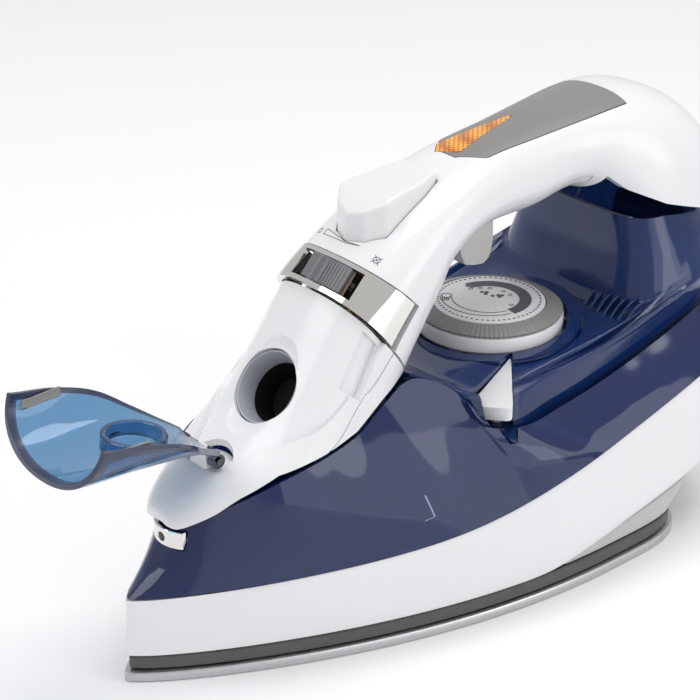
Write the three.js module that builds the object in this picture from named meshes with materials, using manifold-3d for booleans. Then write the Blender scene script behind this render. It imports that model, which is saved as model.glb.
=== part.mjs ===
// A steam iron with a see-through water tank: sole, heater, tank, handle, dial, filler door and steam
// controls.
// Millimetres, +Z up. The origin is the middle of the sole's underside; the nose points along -Y.
import * as THREE from 'three';
import { mergeVertices } from 'three/addons/utils/BufferGeometryUtils.js';
import Module from 'manifold-3d';

const wasm = await Module();
wasm.setup();

// ---------- driving dimensions ----------
const soleLength = 226; // nose tip to heel of the sole
const soleWidth = 118.6; // across the sole at its widest
const bodyHeight = 163; // sole to the top of the grip
const soleThickness = 4;
const shieldHeight = 5.2; // dark heat shield band above the sole
const gap = 0.35; // between pieces that touch
const wall = 2.2; // blue and white housing walls
const handleWall = 3.2;
const dialRadius = 27.2;
const dialHeight = 7;
const shaftRadius = 3;
const hingePinRadius = 1.2;
const fillRadius = 12.5;
const doorWall = 2;
const doorAngle = 122; // the door stands this far open
const bandWall = 1.8;
const insertDepth = 1.6;
const cleanTravel = 3;
const sliderHalfAngle = 20;
const slotHalfAngle = 38;
const steamHoleRadius = 1.5;
const screwRadius = 1.6;
const springWire = 0.45;
const faceRadius = 20.6; // printed disc of the dial
const swivelRadius = 8.5;
const meshTolerance = 0.05; // triangles flatter than this are merged

// The outlines below are drawn for a 226 x 118.6 mm sole, 163 mm tall, and stretch with those three sizes.
const sx = soleWidth / 118.6;
const sy = soleLength / 226;
const sz = bodyHeight / 163;
const at = (x, y, z) => new THREE.Vector3(x * sx, y * sy, z * sz);
const v3 = (x, y, z) => new THREE.Vector3(x, y, z);
const rad = THREE.MathUtils.degToRad;
const lerp = THREE.MathUtils.lerp;

// ---------- colours ----------
const finish = (color, roughness, metalness = 0, opacity = 1) =>
  new THREE.MeshStandardMaterial({ color, roughness, metalness, opacity, transparent: opacity < 1 });
const white = finish(0xf2f2f4, 0.25);
const blue = finish(0x1c2f63, 0.12, 0, 0.8);
const lightBlue = finish(0x3f78ad, 0.12, 0, 0.6);
const grey = finish(0x7d7b7a, 0.5);
const paleGrey = finish(0xb4b6b8, 0.4);
const dark = finish(0x2b2b2c, 0.6);
const chrome = finish(0xd8d8da, 0.06, 1);
const steel = finish(0xb9bbbd, 0.3, 1);
const aluminium = finish(0xa8aaac, 0.45, 1);
const amber = finish(0xe8901a, 0.2, 0, 0.8);
const rubber = finish(0x8c8f92, 0.8);
const brass = finish(0xb5964c, 0.35, 1);

const iron = new THREE.Group();
iron.name = 'clothes_iron';

// ---------- solids ----------
function toSolid(geometry) {
  const bare = geometry.index ? geometry.toNonIndexed() : geometry.clone();
  bare.deleteAttribute('normal');
  bare.deleteAttribute('uv');
  const merged = mergeVertices(bare, 1e-4);
  return new wasm.Manifold(new wasm.Mesh({
    numProp: 3,
    vertProperties: new Float32Array(merged.attributes.position.array),
    triVerts: new Uint32Array(merged.index.array),
  }));
}

function toGeometry(solid) {
  const mesh = solid.getMesh();
  const geometry = new THREE.BufferGeometry();
  geometry.setAttribute('position', new THREE.BufferAttribute(new Float32Array(mesh.vertProperties), 3));
  geometry.setIndex(new THREE.BufferAttribute(new Uint32Array(mesh.triVerts), 1));
  geometry.computeVertexNormals();
  return geometry;
}

function add(name, shape, material) {
  const geometry = toGeometry(shape.simplify(meshTolerance));
  const mesh = new THREE.Mesh(geometry, material);
  mesh.name = name;
  iron.add(mesh);
  return mesh;
}

// Turns a solid or geometry so its +Z lies along dir, then moves it.
function place(shape, origin, dir = v3(0, 0, 1), spin = 0) {
  const geometry = (shape.isBufferGeometry ? shape : toGeometry(shape)).clone();
  const turn = new THREE.Quaternion().setFromUnitVectors(v3(0, 0, 1), dir.clone().normalize());
  const first = new THREE.Quaternion().setFromAxisAngle(v3(0, 0, 1), spin);
  geometry.applyQuaternion(turn.multiply(first));
  geometry.translate(origin.x, origin.y, origin.z);
  return toSolid(geometry);
}

const box = (x0, y0, z0, x1, y1, z1) =>
  toSolid(new THREE.BoxGeometry(x1 - x0, y1 - y0, z1 - z0).translate((x0 + x1) / 2, (y0 + y1) / 2,
    (z0 + z1) / 2));

// A turned piece from radius/height pairs, standing on origin and pointing along dir.
function turned(profile, origin, dir, sides = 16) {
  const lathe = new THREE.LatheGeometry(profile.map(([r, z]) => new THREE.Vector2(r, z)), sides);
  return place(toSolid(lathe.rotateX(Math.PI / 2)), origin, dir);
}

const rod = (radius, length, origin, dir, sides = 16) =>
  turned([[0, 0], [radius, 0], [radius, length], [0, length]], origin, dir, sides);

const pipe = (inner, outer, length, origin, dir, sides = 16) =>
  turned([[inner, 0], [outer, 0], [outer, length], [inner, length], [inner, 0]], origin, dir, sides);

function hose(radius, points, steps = 14) {
  const section = new THREE.Shape().absarc(0, 0, radius, 0, 2 * Math.PI);
  const path = new THREE.CatmullRomCurve3(points);
  return toSolid(new THREE.ExtrudeGeometry(section, { steps, extrudePath: path, curveSegments: 4 }));
}

// A coil spring: a thin wire swept along a helix that stands on origin.
function coil(radius, wire, turns, height, origin, dir) {
  class Helix extends THREE.Curve {
    getPoint(t) {
      const a = t * turns * 2 * Math.PI;
      return v3(radius * Math.cos(a), radius * Math.sin(a), t * height);
    }
  }
  const section = new THREE.Shape([0, 1, 2, 3].map((i) =>
    new THREE.Vector2(wire * Math.cos((i * Math.PI) / 2), wire * Math.sin((i * Math.PI) / 2))));
  const steps = Math.round(turns * 6);
  return place(toSolid(new THREE.ExtrudeGeometry(section, { steps, extrudePath: new Helix() })), origin, dir);
}

// Extrudes a plan outline (Vector2 list) between two heights.
const slab = (outline, z0, z1) =>
  toSolid(new THREE.ExtrudeGeometry(new THREE.Shape(outline), { depth: z1 - z0, bevelEnabled: false })
    .translate(0, 0, z0));

// A wall of even thickness over a grid of surface points. rows[i][j]; closed joins the last column to the
// first.
// The wall lies on the inner side (against the normal) between the depths `from` and `to`.
function sheet(rows, closed, from, to) {
  const m = rows.length;
  const n = rows[0].length;
  const pick = (i, j) => rows[Math.min(Math.max(i, 0), m - 1)][closed ? (j + n) % n : Math.min(Math.max(j,
    0), n - 1)];
  const normal = (i, j) => {
    const along = pick(i + 1, j).clone().sub(pick(i - 1, j));
    const across = pick(i, j + 1).clone().sub(pick(i, j - 1));
    return across.cross(along).normalize();
  };
  const positions = [];
  for (const depth of [from, to]) {
    for (let i = 0; i < m; i++) {
      for (let j = 0; j < n; j++) {
        const p = rows[i][j].clone().addScaledVector(normal(i, j), -depth);
        positions.push(p.x, p.y, p.z);
      }
    }
  }
  const index = [];
  const id = (layer, i, j) => layer * m * n + i * n + (closed ? j % n : j);
  const quad = (a, b, c, d) => index.push(a, b, c, a, c, d);
  const columns = closed ? n : n - 1;
  for (let i = 0; i < m - 1; i++) {
    for (let j = 0; j < columns; j++) {
      quad(id(0, i, j), id(0, i, j + 1), id(0, i + 1, j + 1), id(0, i + 1, j));
      quad(id(1, i, j), id(1, i + 1, j), id(1, i + 1, j + 1), id(1, i, j + 1));
    }
  }
  for (let j = 0; j < columns; j++) {
    quad(id(0, 0, j), id(1, 0, j), id(1, 0, j + 1), id(0, 0, j + 1));
    quad(id(0, m - 1, j), id(0, m - 1, j + 1), id(1, m - 1, j + 1), id(1, m - 1, j));
  }
  if (!closed) {
    for (let i = 0; i < m - 1; i++) {
      quad(id(0, i, 0), id(0, i + 1, 0), id(1, i + 1, 0), id(1, i, 0));
      quad(id(0, i, n - 1), id(1, i, n - 1), id(1, i + 1, n - 1), id(0, i + 1, n - 1));
    }
  }
  const geometry = new THREE.BufferGeometry();
  geometry.setAttribute('position', new THREE.BufferAttribute(new Float32Array(positions), 3));
  geometry.setIndex(index);
  return toSolid(geometry);
}

// Mirrors half a ring (from x = 0 at the front to x = 0 at the rear) into a closed one.
function wholeRing(half) {
  const mirrored = half.slice(1, -1).reverse().map((p) => v3(-p.x, p.y, p.z));
  return [...half, ...mirrored];
}

// Mirrors half a ring into an open strip from rear to nose to rear.
function wholeStrip(half) {
  const mirrored = half.slice(1).reverse().map((p) => v3(-p.x, p.y, p.z));
  return [...mirrored, ...half];
}

// Samples a smooth curve through points, `per` steps to each stretch.
function smooth(points, per = 2) {
  const curve = new THREE.CatmullRomCurve3(points, false, 'centripetal');
  const count = (points.length - 1) * per;
  return Array.from({ length: count + 1 }, (_, i) => curve.getPoint(i / count));
}

// ---------- the body's plan outline and its two waterlines ----------
const widestY = 61; // where the body is widest
const heelPower = 4.5; // squareness of the heel's corners

// Half outline from nose to heel for a given nose, heel and half width.
function planHalf({ nose, heel, half, power = 0.8 }, noseSteps = 12, heelSteps = 8) {
  const points = [];
  for (let i = 0; i <= noseSteps; i++) {
    const t = (i / noseSteps) ** 1.35;
    const x = half * Math.sin((t * Math.PI) / 2) ** power;
    points.push(v3(i === 0 ? 0 : x, lerp(nose, widestY, t), 0));
  }
  for (let i = 1; i <= heelSteps; i++) {
    const a = ((i / heelSteps) * Math.PI) / 2;
    const x = i === heelSteps ? 0 : half * Math.cos(a) ** (2 / heelPower);
    points.push(v3(x, widestY + (heel - widestY) * Math.sin(a) ** (2 / heelPower), 0));
  }
  return points;
}

const planOutline = (shape) =>
  wholeRing(planHalf(shape)).map((p) => new THREE.Vector2(p.x * sx, p.y * sy));

const bend = (y, corner, softness) => softness * Math.log(1 + Math.exp((y - corner) / softness));
const tankLine = (y) => 38 + 0.06 * y + 0.21 * bend(y, 0, 12); // top edge of the skirt
const skirtLine = (y) => 10.2 + 0.21 * bend(y, 34, 3); // lower edge of the skirt

// ---------- sole and heater ----------
const soleShape = { nose: -113, heel: 113, half: 59.3 };
const inset = (shape, by) => ({ ...shape, nose: shape.nose + 1.7 * by, heel: shape.heel - by,
  half: shape.half - by });

function soleplate() {
  let plate = slab(planOutline(soleShape), 0, soleThickness);
  const holes = [];
  for (const side of [-1, 1]) {
    for (let i = 0; i < 5; i++) {
      const t = 0.16 + i * 0.15;
      holes.push(at(side * 0.78 * soleShape.half * Math.sin((t * Math.PI) / 2) ** 0.8, lerp(-113, 61, t), 0));
    }
    holes.push(at(side * 26, 86, 0));
  }
  for (const p of holes) plate = plate.subtract(rod(steamHoleRadius, soleThickness + 2, v3(p.x, p.y, -1),
    v3(0, 0, 1), 6));
  return plate;
}

const shieldBase = soleThickness + gap;
const shieldTop = shieldBase + shieldHeight;
const castingShape = { nose: -92, heel: 96, half: 46 };
const castingTop = 20;
const chamberShape = { nose: -58, heel: 62, half: 26 };
const elementRadius = 3.6;
const elementHeight = 12;

add('soleplate', soleplate(), steel);
add('heat_shield', slab(planOutline(inset(soleShape, 1.4)), shieldBase, shieldTop)
  .subtract(slab(planOutline(inset(castingShape, -1.2)), 0, 40)), dark);

// The heating tube is a U that follows the casting's outline, with both ends turned up at the heel.
const elementPath = wholeStrip(planHalf({ nose: -76, heel: 90, half: 36 }, 6, 4).slice(0, 9))
  .map((p) => v3(p.x * sx, p.y * sy, elementHeight));
const elementEnds = [elementPath[0], elementPath.at(-1)];
const elementRoute = [
  v3(elementEnds[0].x, elementEnds[0].y + 8 * sy, elementHeight),
  ...elementPath,
  v3(elementEnds[1].x, elementEnds[1].y + 8 * sy, elementHeight),
];
const casting = slab(planOutline(castingShape), shieldBase, castingTop)
  .subtract(slab(planOutline(chamberShape), castingTop - 7, castingTop + 1))
  .subtract(hose(elementRadius + gap, elementRoute, 17));
add('heating_element', hose(elementRadius, elementRoute, 17), steel);

const chamberScrews = [at(31, 40, 0), at(-31, 40, 0)];
let drilledCasting = casting;
const coverBase = castingTop + 1.2 + 2 * gap;
const coverTop = coverBase + 2;
let chamberCover = slab(planOutline(inset(chamberShape, -9)), coverBase, coverTop);
let chamberSeal = slab(planOutline(inset(chamberShape, -3)), castingTop + gap, castingTop + gap + 1.2)
  .subtract(slab(planOutline(inset(chamberShape, 0.5)), 10, 40));
for (const p of chamberScrews) {
  drilledCasting = drilledCasting.subtract(rod(screwRadius + gap, 6, v3(p.x, p.y, castingTop - 5),
    v3(0, 0, 1), 8));
  chamberCover = chamberCover.subtract(rod(screwRadius + gap, 9, v3(p.x, p.y, castingTop - 2), v3(0, 0, 1),
    8));
}
add('heater_casting', drilledCasting, aluminium);
add('chamber_cover', chamberCover, aluminium);
add('chamber_seal', chamberSeal, rubber);
chamberScrews.forEach((p, i) => {
  const screw = turned([[0, 0], [screwRadius, 0], [screwRadius, coverTop + gap - castingTop + 4],
    [2 * screwRadius, coverTop + gap - castingTop + 4], [2 * screwRadius, coverTop + gap - castingTop + 6],
    [0, coverTop + gap - castingTop + 6]], v3(p.x, p.y, castingTop - 4), v3(0, 0, 1), 10);
  add(`chamber_screw_${i + 1}`, screw, steel);
});

// ---------- skirts ----------
const skirtLow = { nose: -111.6, heel: 146, half: 58.6 };
const skirtHigh = { nose: -110.8, heel: 150, half: 61 };
const liftHalf = (shape, line, out = 0) => planHalf({ ...shape, half: shape.half + out }, 12, 8)
  .map((p) => at(p.x, p.y, line(p.y)));

function blendRows(low, high, steps, bulge) {
  return Array.from({ length: steps + 1 }, (_, i) => {
    const t = i / steps;
    const swell = bulge * Math.sin(Math.PI * t);
    return low.map((p, j) => {
      const q = p.clone().lerp(high[j], t);
      const size = Math.hypot(q.x, 30) || 1;
      return v3(q.x + (swell * q.x) / size, q.y, q.z);
    });
  });
}
const skirtRows = blendRows(liftHalf(skirtLow, skirtLine), liftHalf(skirtHigh, tankLine), 2,
  1.2).map(wholeRing);
add('skirt_shell', sheet(skirtRows, true, 0, wall), white);

// The pale heel skirt fills the wedge between the sole and the skirt's rising edge.
const heelFrom = 11; // outline points before the heel skirt starts
const heelLowHalf = planHalf({ nose: -110, heel: 114.5, half: 56.8 }, 12, 8)
  .map((p) => at(p.x, p.y, shieldTop + 0.4)).slice(heelFrom);
const heelHighHalf = planHalf({ nose: -110, heel: 141, half: 55.3 }, 12, 8)
  .map((p) => at(p.x, p.y, skirtLine(p.y) + 2.4)).slice(heelFrom);
const heelRing = (half) => [...half, ...half.slice(0, -1).reverse().map((p) => v3(-p.x, p.y, p.z))];
add('heel_skirt', sheet(blendRows(heelLowHalf, heelHighHalf, 3, 0.5).map(heelRing), false, 0, wall - 0.4),
  paleGrey);

// ---------- water tank ----------
// Each stretch pairs a point of the skirt's top edge (by y) with a point of the tank's upper rim.
const tankPairs = [
  [-110.5, [0, -92.5, 53.4]], [-106, [8.4, -88, 57]], [-80, [19, -77, 64.2]], [-62, [26, -64, 70.4]],
  [-44, [28.2, -46.5, 74.2]], [-25, [28.2, -33, 77.8]], [-9, [27.6, -21, 85]], [4, [27.2, -8, 90]],
  [17, [34, 5, 84]], [28, [43, 10, 72.5]], [39, [48.5, 24, 69]], [54, [47, 47, 69.3]], [72, [46, 67, 71.5]],
  [92, [45.3, 88, 75.6]], [115, [44, 108, 80]], [134, [41.5, 128, 84.3]],
];

function bodyHalfWidth(y, { nose, heel, half, power = 0.8 }) {
  if (y <= widestY) return half * Math.sin((Math.max(y - nose,
    0) / (widestY - nose)) * (Math.PI / 2)) ** power;
  return half * (1 - ((y - widestY) / (heel - widestY)) ** heelPower) ** (1 / heelPower);
}
const tankBase = tankPairs.map(([y]) => at(bodyHalfWidth(y, skirtHigh), y, tankLine(y) + gap));
const tankRim = tankPairs.map(([, p]) => at(...p));
// The tank's side swells between its base and its rim, and its nose is hollowed.
const tankSteps = 4;
const tankSwell = 2.2;
const noseHollow = 4.4;
const tankRows = (() => {
  const low = smooth(tankBase);
  const high = smooth(tankRim);
  return Array.from({ length: tankSteps + 1 }, (_, i) => {
    const t = i / tankSteps;
    return low.map((p, j) => {
      const q = p.clone().lerp(high[j], t);
      const side = Math.min(1, q.x / (24 * sx));
      const swell = Math.sin(Math.PI * t) * lerp(-noseHollow, tankSwell, side);
      return v3(q.x + swell * side, q.y - swell * (1 - side), q.z);
    });
  }).map(wholeStrip);
})();
const prismAcross = (points, halfWidth) => {
  const shape = new THREE.Shape(points.map(([y, z]) => new THREE.Vector2(y * sy, z * sz)));
  const prism = new THREE.ExtrudeGeometry(shape, { depth: 2 * halfWidth, bevelEnabled: false });
  prism.translate(0, 0, -halfWidth);
  prism.applyMatrix4(new THREE.Matrix4().makeBasis(v3(0, 1, 0), v3(0, 0, 1), v3(1, 0, 0)));
  return toSolid(prism);
};
const skirtTop = Array.from({ length: 15 }, (_, i) => [-120 + 20 * i, tankLine(-120 + 20 * i) + 1.6 * gap]);
const aboveSkirt = prismAcross([...skirtTop, [160, 300], [-120, 300]], 200);
const tankWall = sheet(tankRows, false, 0, wall).intersect(aboveSkirt);

const floorShape = { nose: -97, heel: 200, half: 56 };
const floorZ = 34 * sz;
const bulkheadY = 16 * sy;
const keepFront = box(-200, -300, 0, 200, bulkheadY, 300);
const tankFloor = slab(planOutline(floorShape), floorZ, floorZ + wall).intersect(keepFront);

// ---------- white body: a loft from the nose up the arm, along the grip and down the rear hood ----------
// Each station: front or top point (y, z), rear or under point (y, z), half width, place of the widest line,
// and the squareness of the outer and the inner half.
const stations = [
  [-96.2, 57, -95, 53.5, 4, 0.5, 2.2, 2.2], [-96, 61, -92, 48, 9, 0.5, 2.2, 2.2],
  [-91, 65.6, -82, 44, 15, 0.5, 2.2, 2.2], [-83.5, 69.6, -70, 46, 20, 0.5, 2.2, 2.2],
  [-76, 73.6, -58, 50, 24.5, 0.5, 2.2, 2.2], [-68, 78, -46, 54, 27.3, 0.48, 2.2, 2.4],
  [-61, 83.2, -32, 58, 28.3, 0.46, 2.2, 2.6], [-54.5, 91, -20, 61, 28.4, 0.45, 2.2, 2.8],
  [-44.5, 104.2, -10, 72, 27.5, 0.43, 2.2, 3], [-31.2, 122.4, -2.9, 86.2, 26.3, 0.43, 2.2, 3],
  [-19.6, 130.8, 8.3, 103.2, 25.3, 0.44, 2.2, 3], [-9, 137.5, 15.5, 112.5, 24.3, 0.46, 2.2, 2.8],
  [3, 143.8, 20.5, 120, 23, 0.48, 2.2, 2.6], [18.5, 149.8, 30, 125.4, 21.5, 0.5, 2.3, 2.4],
  [38, 154.8, 42, 127, 20, 0.5, 2.4, 2.2], [60, 157.8, 62, 127, 19.5, 0.5, 2.4, 2.2],
  [83, 160.3, 82, 130, 21, 0.5, 2.4, 2.2], [103, 161.3, 92, 126, 27, 0.58, 2.4, 2.6],
  [120, 160.5, 99, 116, 32.5, 0.62, 2.4, 3], [135, 154.5, 104, 104, 36, 0.6, 2.4, 3],
  [146, 143, 108, 96, 37.5, 0.55, 2.4, 3], [150.5, 128, 112, 88, 38, 0.5, 2.4, 3],
  [151, 110, 116, 80, 38, 0.5, 2.4, 3],
];
const bandStart = 9; // the chrome band runs between these two stations
const bandEnd = 10;

function station(k) {
  const last = stations.length - 1;
  const i = Math.min(Math.max(Math.floor(k), 0), last - 1);
  const t = k - i;
  const row = (j) => stations[Math.min(Math.max(j, 0), last)];
  return row(i).map((b, c) => {
    const [a, d, e] = [row(i - 1)[c], row(i + 1)[c], row(i + 2)[c]];
    const squared = (2 * a - 5 * b + 4 * d - e) * t * t;
    const cubed = (3 * b - a - 3 * d + e) * t ** 3;
    return 0.5 * (2 * b + (d - a) * t + squared + cubed);
  });
}

// A point of the white body's surface: k runs along the stations, theta from the front (0) to the rear
// (180 deg).
function whitePoint(k, theta) {
  const [oy, oz, iy, iz, half, widest, outerPower, innerPower] = station(k);
  const c = Math.cos(theta);
  const s = Math.sin(theta);
  const power = 2 / (c > 0 ? outerPower : innerPower);
  const x = half * Math.sign(s) * Math.abs(s) ** power;
  const reach = Math.abs(c) ** power;
  const t = c > 0 ? widest * (1 - reach) : widest + (1 - widest) * reach;
  return at(x, lerp(oy, iy, t), lerp(oz, iz, t));
}

// Rows of surface points for stations k0..k1; edge(k) gives the largest theta in degrees.
function whiteRows(k0, k1, rowsCount, edge, columns, turn = 0) {
  return Array.from({ length: rowsCount + 1 }, (_, i) => {
    const k = lerp(k0, k1, i / rowsCount);
    const limit = rad(typeof edge === 'function' ? edge(k, i / rowsCount) : edge);
    return Array.from({ length: columns + 1 }, (_, j) => whitePoint(k, rad(turn) + lerp(-limit, limit,
      j / columns)));
  });
}
const aroundColumns = 20;
const fullRows = (k0, k1, count) => Array.from({ length: count + 1 }, (_, i) =>
  Array.from({ length: aroundColumns }, (_, j) => whitePoint(lerp(k0, k1, i / count),
    (j / aroundColumns) * 2 * Math.PI)));

// The region above the white body's lower edges, as a thick prism across the body.
const lowerEdge = [
  [-120, 55], [-99, 55.2], [-95, 56.2], [-89.5, 59], [-84, 61.6], [-77, 65.7], [-64, 71.8], [-46.5, 75.6],
  [-33.5, 79.2], [-21.5, 86.4], [-12, 90.3], [-4, 91.8], [12, 91.8], [60, 95], [84, 120], [90, 137], [97,
    131],
  [110, 124.5], [128, 119], [170, 110],
];
const aboveEdge = prismAcross([...lowerEdge, [170, 260], [-120, 260]], 200);

// The arm's own frame, from the band's front: along the arm and out of its front face.
const bandFront = whitePoint(bandStart, 0);
const armDir = whitePoint(bandEnd, 0).sub(whitePoint(bandStart - 1, 0)).normalize();
const armOut = v3(0, -armDir.z, armDir.y);
const arm = (x, s, out) => bandFront.clone().addScaledVector(armDir, s).addScaledVector(armOut, out).setX(x);

const panelDir = whitePoint(8, 0).sub(whitePoint(6, 0)).normalize();
const panelOut = v3(0, -panelDir.z, panelDir.y);
const fillCentre = whitePoint(7.2, 0).addScaledVector(panelOut, -2.4);
const fillPoint = (out) => fillCentre.clone().addScaledVector(panelOut, out);
const hingeCentre = at(0, -76.8, 75.1);

// ---------- filler panel ----------
let panel = sheet(fullRows(0, bandStart - 0.03, 11), true, 0, wall + doorWall).intersect(aboveEdge);
const dish = turned([[0, -0.4], [15.5, 1.6], [18, 6], [0, 6]], fillCentre, panelOut, 18)
  .subtract(rod(fillRadius + 2, 20, fillPoint(-10), panelOut, 18));
const neckLength = 9;
const neck = pipe(fillRadius, fillRadius + 2, neckLength - 0.4, fillPoint(-neckLength), panelOut, 18);
panel = panel.subtract(dish)
  .subtract(rod(fillRadius + 1, 30, fillPoint(-15), panelOut, 18))
  .add(neck);
const blockHalf = 4.6;
const knuckleHalf = 8.6;
const knuckleRadius = 2.6;
const hinge = (x, y, z) => v3(x, hingeCentre.y + y, hingeCentre.z + z);
const boxAt = (a, b) => box(a.x, a.y, a.z, b.x, b.y, b.z);
const hingeBlock = boxAt(hinge(-blockHalf, -2.8, -7), hinge(blockHalf, 2.3, 2.4));
const knuckleRoom = boxAt(hinge(-knuckleHalf - 1.4, -4.6, -3.6), hinge(knuckleHalf + 1.4, 6.4, 20));
const roomFloor = boxAt(hinge(-knuckleHalf - 1.4, -4.2, -6.4), hinge(knuckleHalf + 1.4, 6, -3.8));
const hingeLine = (radius, length) => rod(radius, length, hinge(-length / 2, 0, 0), v3(1, 0, 0), 12);

// The door lies over the panel's front, narrow at the hinge and full width at the band.
const doorFrom = 4.4;
const doorTo = bandStart - 0.03;
const doorEdge = (k) => {
  const u = (k - doorFrom) / (bandStart - doorFrom);
  return 24 + 65 * (u - 0.05 * Math.sin(2 * Math.PI * u));
};
const doorProud = 0.5;
const doorRows = (margin, extra = 0) => whiteRows(doorFrom - margin / 12, doorTo + extra, 9,
  (k) => doorEdge(Math.max(k, doorFrom)) + margin * 2.2, 12);
const doorRecess = sheet(doorRows(gap * 1.6, 0.2), false, -3, doorWall - doorProud + 0.6);
panel = panel.add(roomFloor).subtract(doorRecess).subtract(knuckleRoom).add(hingeBlock)
  .subtract(hingeLine(hingePinRadius + 0.3, 60));
const plugRadius = fillRadius - 1.5;
const plug = pipe(plugRadius - 2, plugRadius, 6, fillPoint(-4), panelOut, 16);
let door = sheet(doorRows(0), false, -doorProud, doorWall - doorProud).add(plug);
for (const side of [-1, 1]) {
  const inner = side * (blockHalf + gap);
  const outer = side * knuckleHalf;
  const low = Math.min(inner, outer);
  const knuckle = rod(knuckleRadius, knuckleHalf - blockHalf - gap, hinge(low, 0, 0), v3(1, 0, 0), 14);
  const lug = boxAt(hinge(low, 0, -1.6), hinge(Math.max(inner, outer), 5.8, 1.4));
  door = door.add(knuckle).add(lug);
}
door = door.subtract(hingeLine(hingePinRadius + 0.3, 60));
// A piece built in the door's closed place is turned about the hinge to where the open door stands.
function opened(solid) {
  const geometry = toGeometry(solid);
  geometry.translate(0, -hingeCentre.y, -hingeCentre.z);
  geometry.rotateX(rad(doorAngle));
  geometry.translate(0, hingeCentre.y, hingeCentre.z);
  return toSolid(geometry);
}
// A small rib inside the door's free corner; grown, it is the pocket that the rib drops into.
function doorRib(side, grow, from, to) {
  const rows = Array.from({ length: 4 }, (_, i) => [70 - 6 * grow, 75, 80 + 6 * grow].map((edge) =>
    whitePoint(lerp(8 - 0.1 * grow, 8.75 + 0.1 * grow, i / 3), rad(side * edge))));
  if (side < 0) rows.forEach((row) => row.reverse());
  return sheet(rows, false, from, to);
}
const ribDepth = doorWall - doorProud + 1.5 * gap;
for (const side of [-1, 1]) panel = panel.subtract(doorRib(side, 1, 0, ribDepth + 1.6));
const sealRing = pipe(fillRadius + 0.3, fillRadius + 2.4, 1.2, fillPoint(-neckLength - 1.6), panelOut, 18);

// ---------- handle shells ----------
let handle = sheet(fullRows(bandStart + 0.02, stations.length - 1, 15), true, 0, handleWall)
  .intersect(aboveEdge);
const bandWindow = sheet(whiteRows(bandStart - 0.3, bandEnd + 0.02, 2, 97, 14), false, -3, 8);
handle = handle.subtract(bandWindow);
const gripFrom = 11.7;
const gripTo = 16.2;
const gripEdge = 62;
handle = handle.subtract(sheet(whiteRows(gripFrom - 0.03, gripTo + 0.03, 9, gripEdge + 1.2, 8, 180), false,
  -2, 7));
let gripShell = sheet(whiteRows(gripFrom, gripTo, 9, gripEdge, 8, 180), false, 0, handleWall - 0.6);

const insertFrom = 13.72;
const insertTo = 17.2;
const insertHalf = 15.5;
const insertEdge = (k) => {
  const full = THREE.MathUtils.radToDeg(Math.asin(Math.min(1, insertHalf / station(k)[4]) ** 1.2));
  return full * Math.min(1, 0.5 + (k - insertFrom) * 1.5);
};
const insertRows = (margin) => whiteRows(insertFrom - margin / 16, insertTo + margin / 20, 10,
  (k) => insertEdge(Math.max(k, insertFrom)) + margin * 4, 8);
let insert = sheet(insertRows(0), false, 0, insertDepth);
handle = handle.subtract(sheet(insertRows(gap), false, -3, insertDepth + gap));

// The amber lens is an arrow: blunt in front and pointed to the rear.
const lensFront = 29;
const lensTip = 64;
const lensHalf = 8;
const lensOutline = (grow) => [[-lensHalf - grow, lensFront + 2], [-4, lensFront - grow],
  [4, lensFront - grow],
  [lensHalf + grow, lensFront + 2], [lensHalf - 0.8 + grow, lensFront + 9], [0.4, lensTip + 2 * grow],
  [-0.4, lensTip + 2 * grow], [-lensHalf + 0.8 - grow, lensFront + 9]]
  .map(([x, y]) => new THREE.Vector2(x, y * sy));
const lensRows = (from, to) => sheet(whiteRows(13.2, 15.6, 7, 40, 6), false, from, to);
const lens = lensRows(0, insertDepth).intersect(slab(lensOutline(0), 0, 400));
const lensHole = slab(lensOutline(gap), 0, 400).intersect(lensRows(-4, insertDepth + gap));
insert = insert.subtract(lensHole);
handle = handle.subtract(lensHole)
  .subtract(rod(2, 12, v3(0, (lensFront + 10) * sy, 142 * sz), v3(0, 0, 1), 10));
const lampPlace = v3(0, (lensFront + 10) * sy, 144 * sz);
const lamp = turned([[0, -4], [2.6, -4], [2.6, 2], [1.4, 4.6], [0, 5]], lampPlace, v3(0, 0, 1), 12);

// ---------- top button and its pump ----------
const buttonFrontY = -13;
const buttonRearY = 19.5;
const buttonOutline = (grow) => [[0, buttonFrontY - 1.5 - grow], [7, buttonFrontY + 1 - grow],
  [12 + grow, -6.5 - grow],
  [12 + grow, -4], [10.5 + grow, 12], [8.5 + grow, buttonRearY + grow], [-8.5 - grow, buttonRearY + grow],
  [-10.5 - grow, 12], [-12 - grow, -4], [-12 - grow, -6.5 - grow], [-7, buttonFrontY + 1 - grow]]
  .map(([x, y]) => new THREE.Vector2(x, y * sy));
const buttonTop = prismAcross([[-40, 100], [-40, 140], [-15, 143.6], [-12.5, 145.6], [-4.5, 149.8],
  [8, 151.2], [20, 153], [60, 158], [60, 100]], 60);
const buttonFoot = prismAcross([[-40, 60], [-40, 128], [-15, 132], [0, 137], [22, 143.5], [60, 147],
  [60, 60]], 60);
const buttonShell = slab(buttonOutline(0), 60, 300).intersect(buttonTop).subtract(buttonFoot);
handle = handle.subtract(slab(buttonOutline(0.45), 60, 300)
  .intersect(prismAcross([[-40, 118], [30, 134], [60, 300], [-40, 300]], 60)));
const pumpPlace = at(0, 2, 119.5);
const pumpRadius = 5.5;
const pumpLength = 9;
const pistonRadius = pumpRadius - 1.4 - gap;
const buttonWell = at(0, 2, 137.6).z;
const stem = rod(pistonRadius, buttonWell + 2 - pumpPlace.z - 4, v3(0, pumpPlace.y, pumpPlace.z + 4),
  v3(0, 0, 1), 12);
const pumpBody = pipe(pumpRadius - 1.4, pumpRadius, pumpLength, pumpPlace, v3(0, 0, 1), 16)
  .add(pipe(1.2, pumpRadius, 1.6, v3(0, pumpPlace.y, pumpPlace.z - 1.5), v3(0, 0, 1), 16));
const springFoot = pumpPlace.z + pumpLength + gap;
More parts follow.
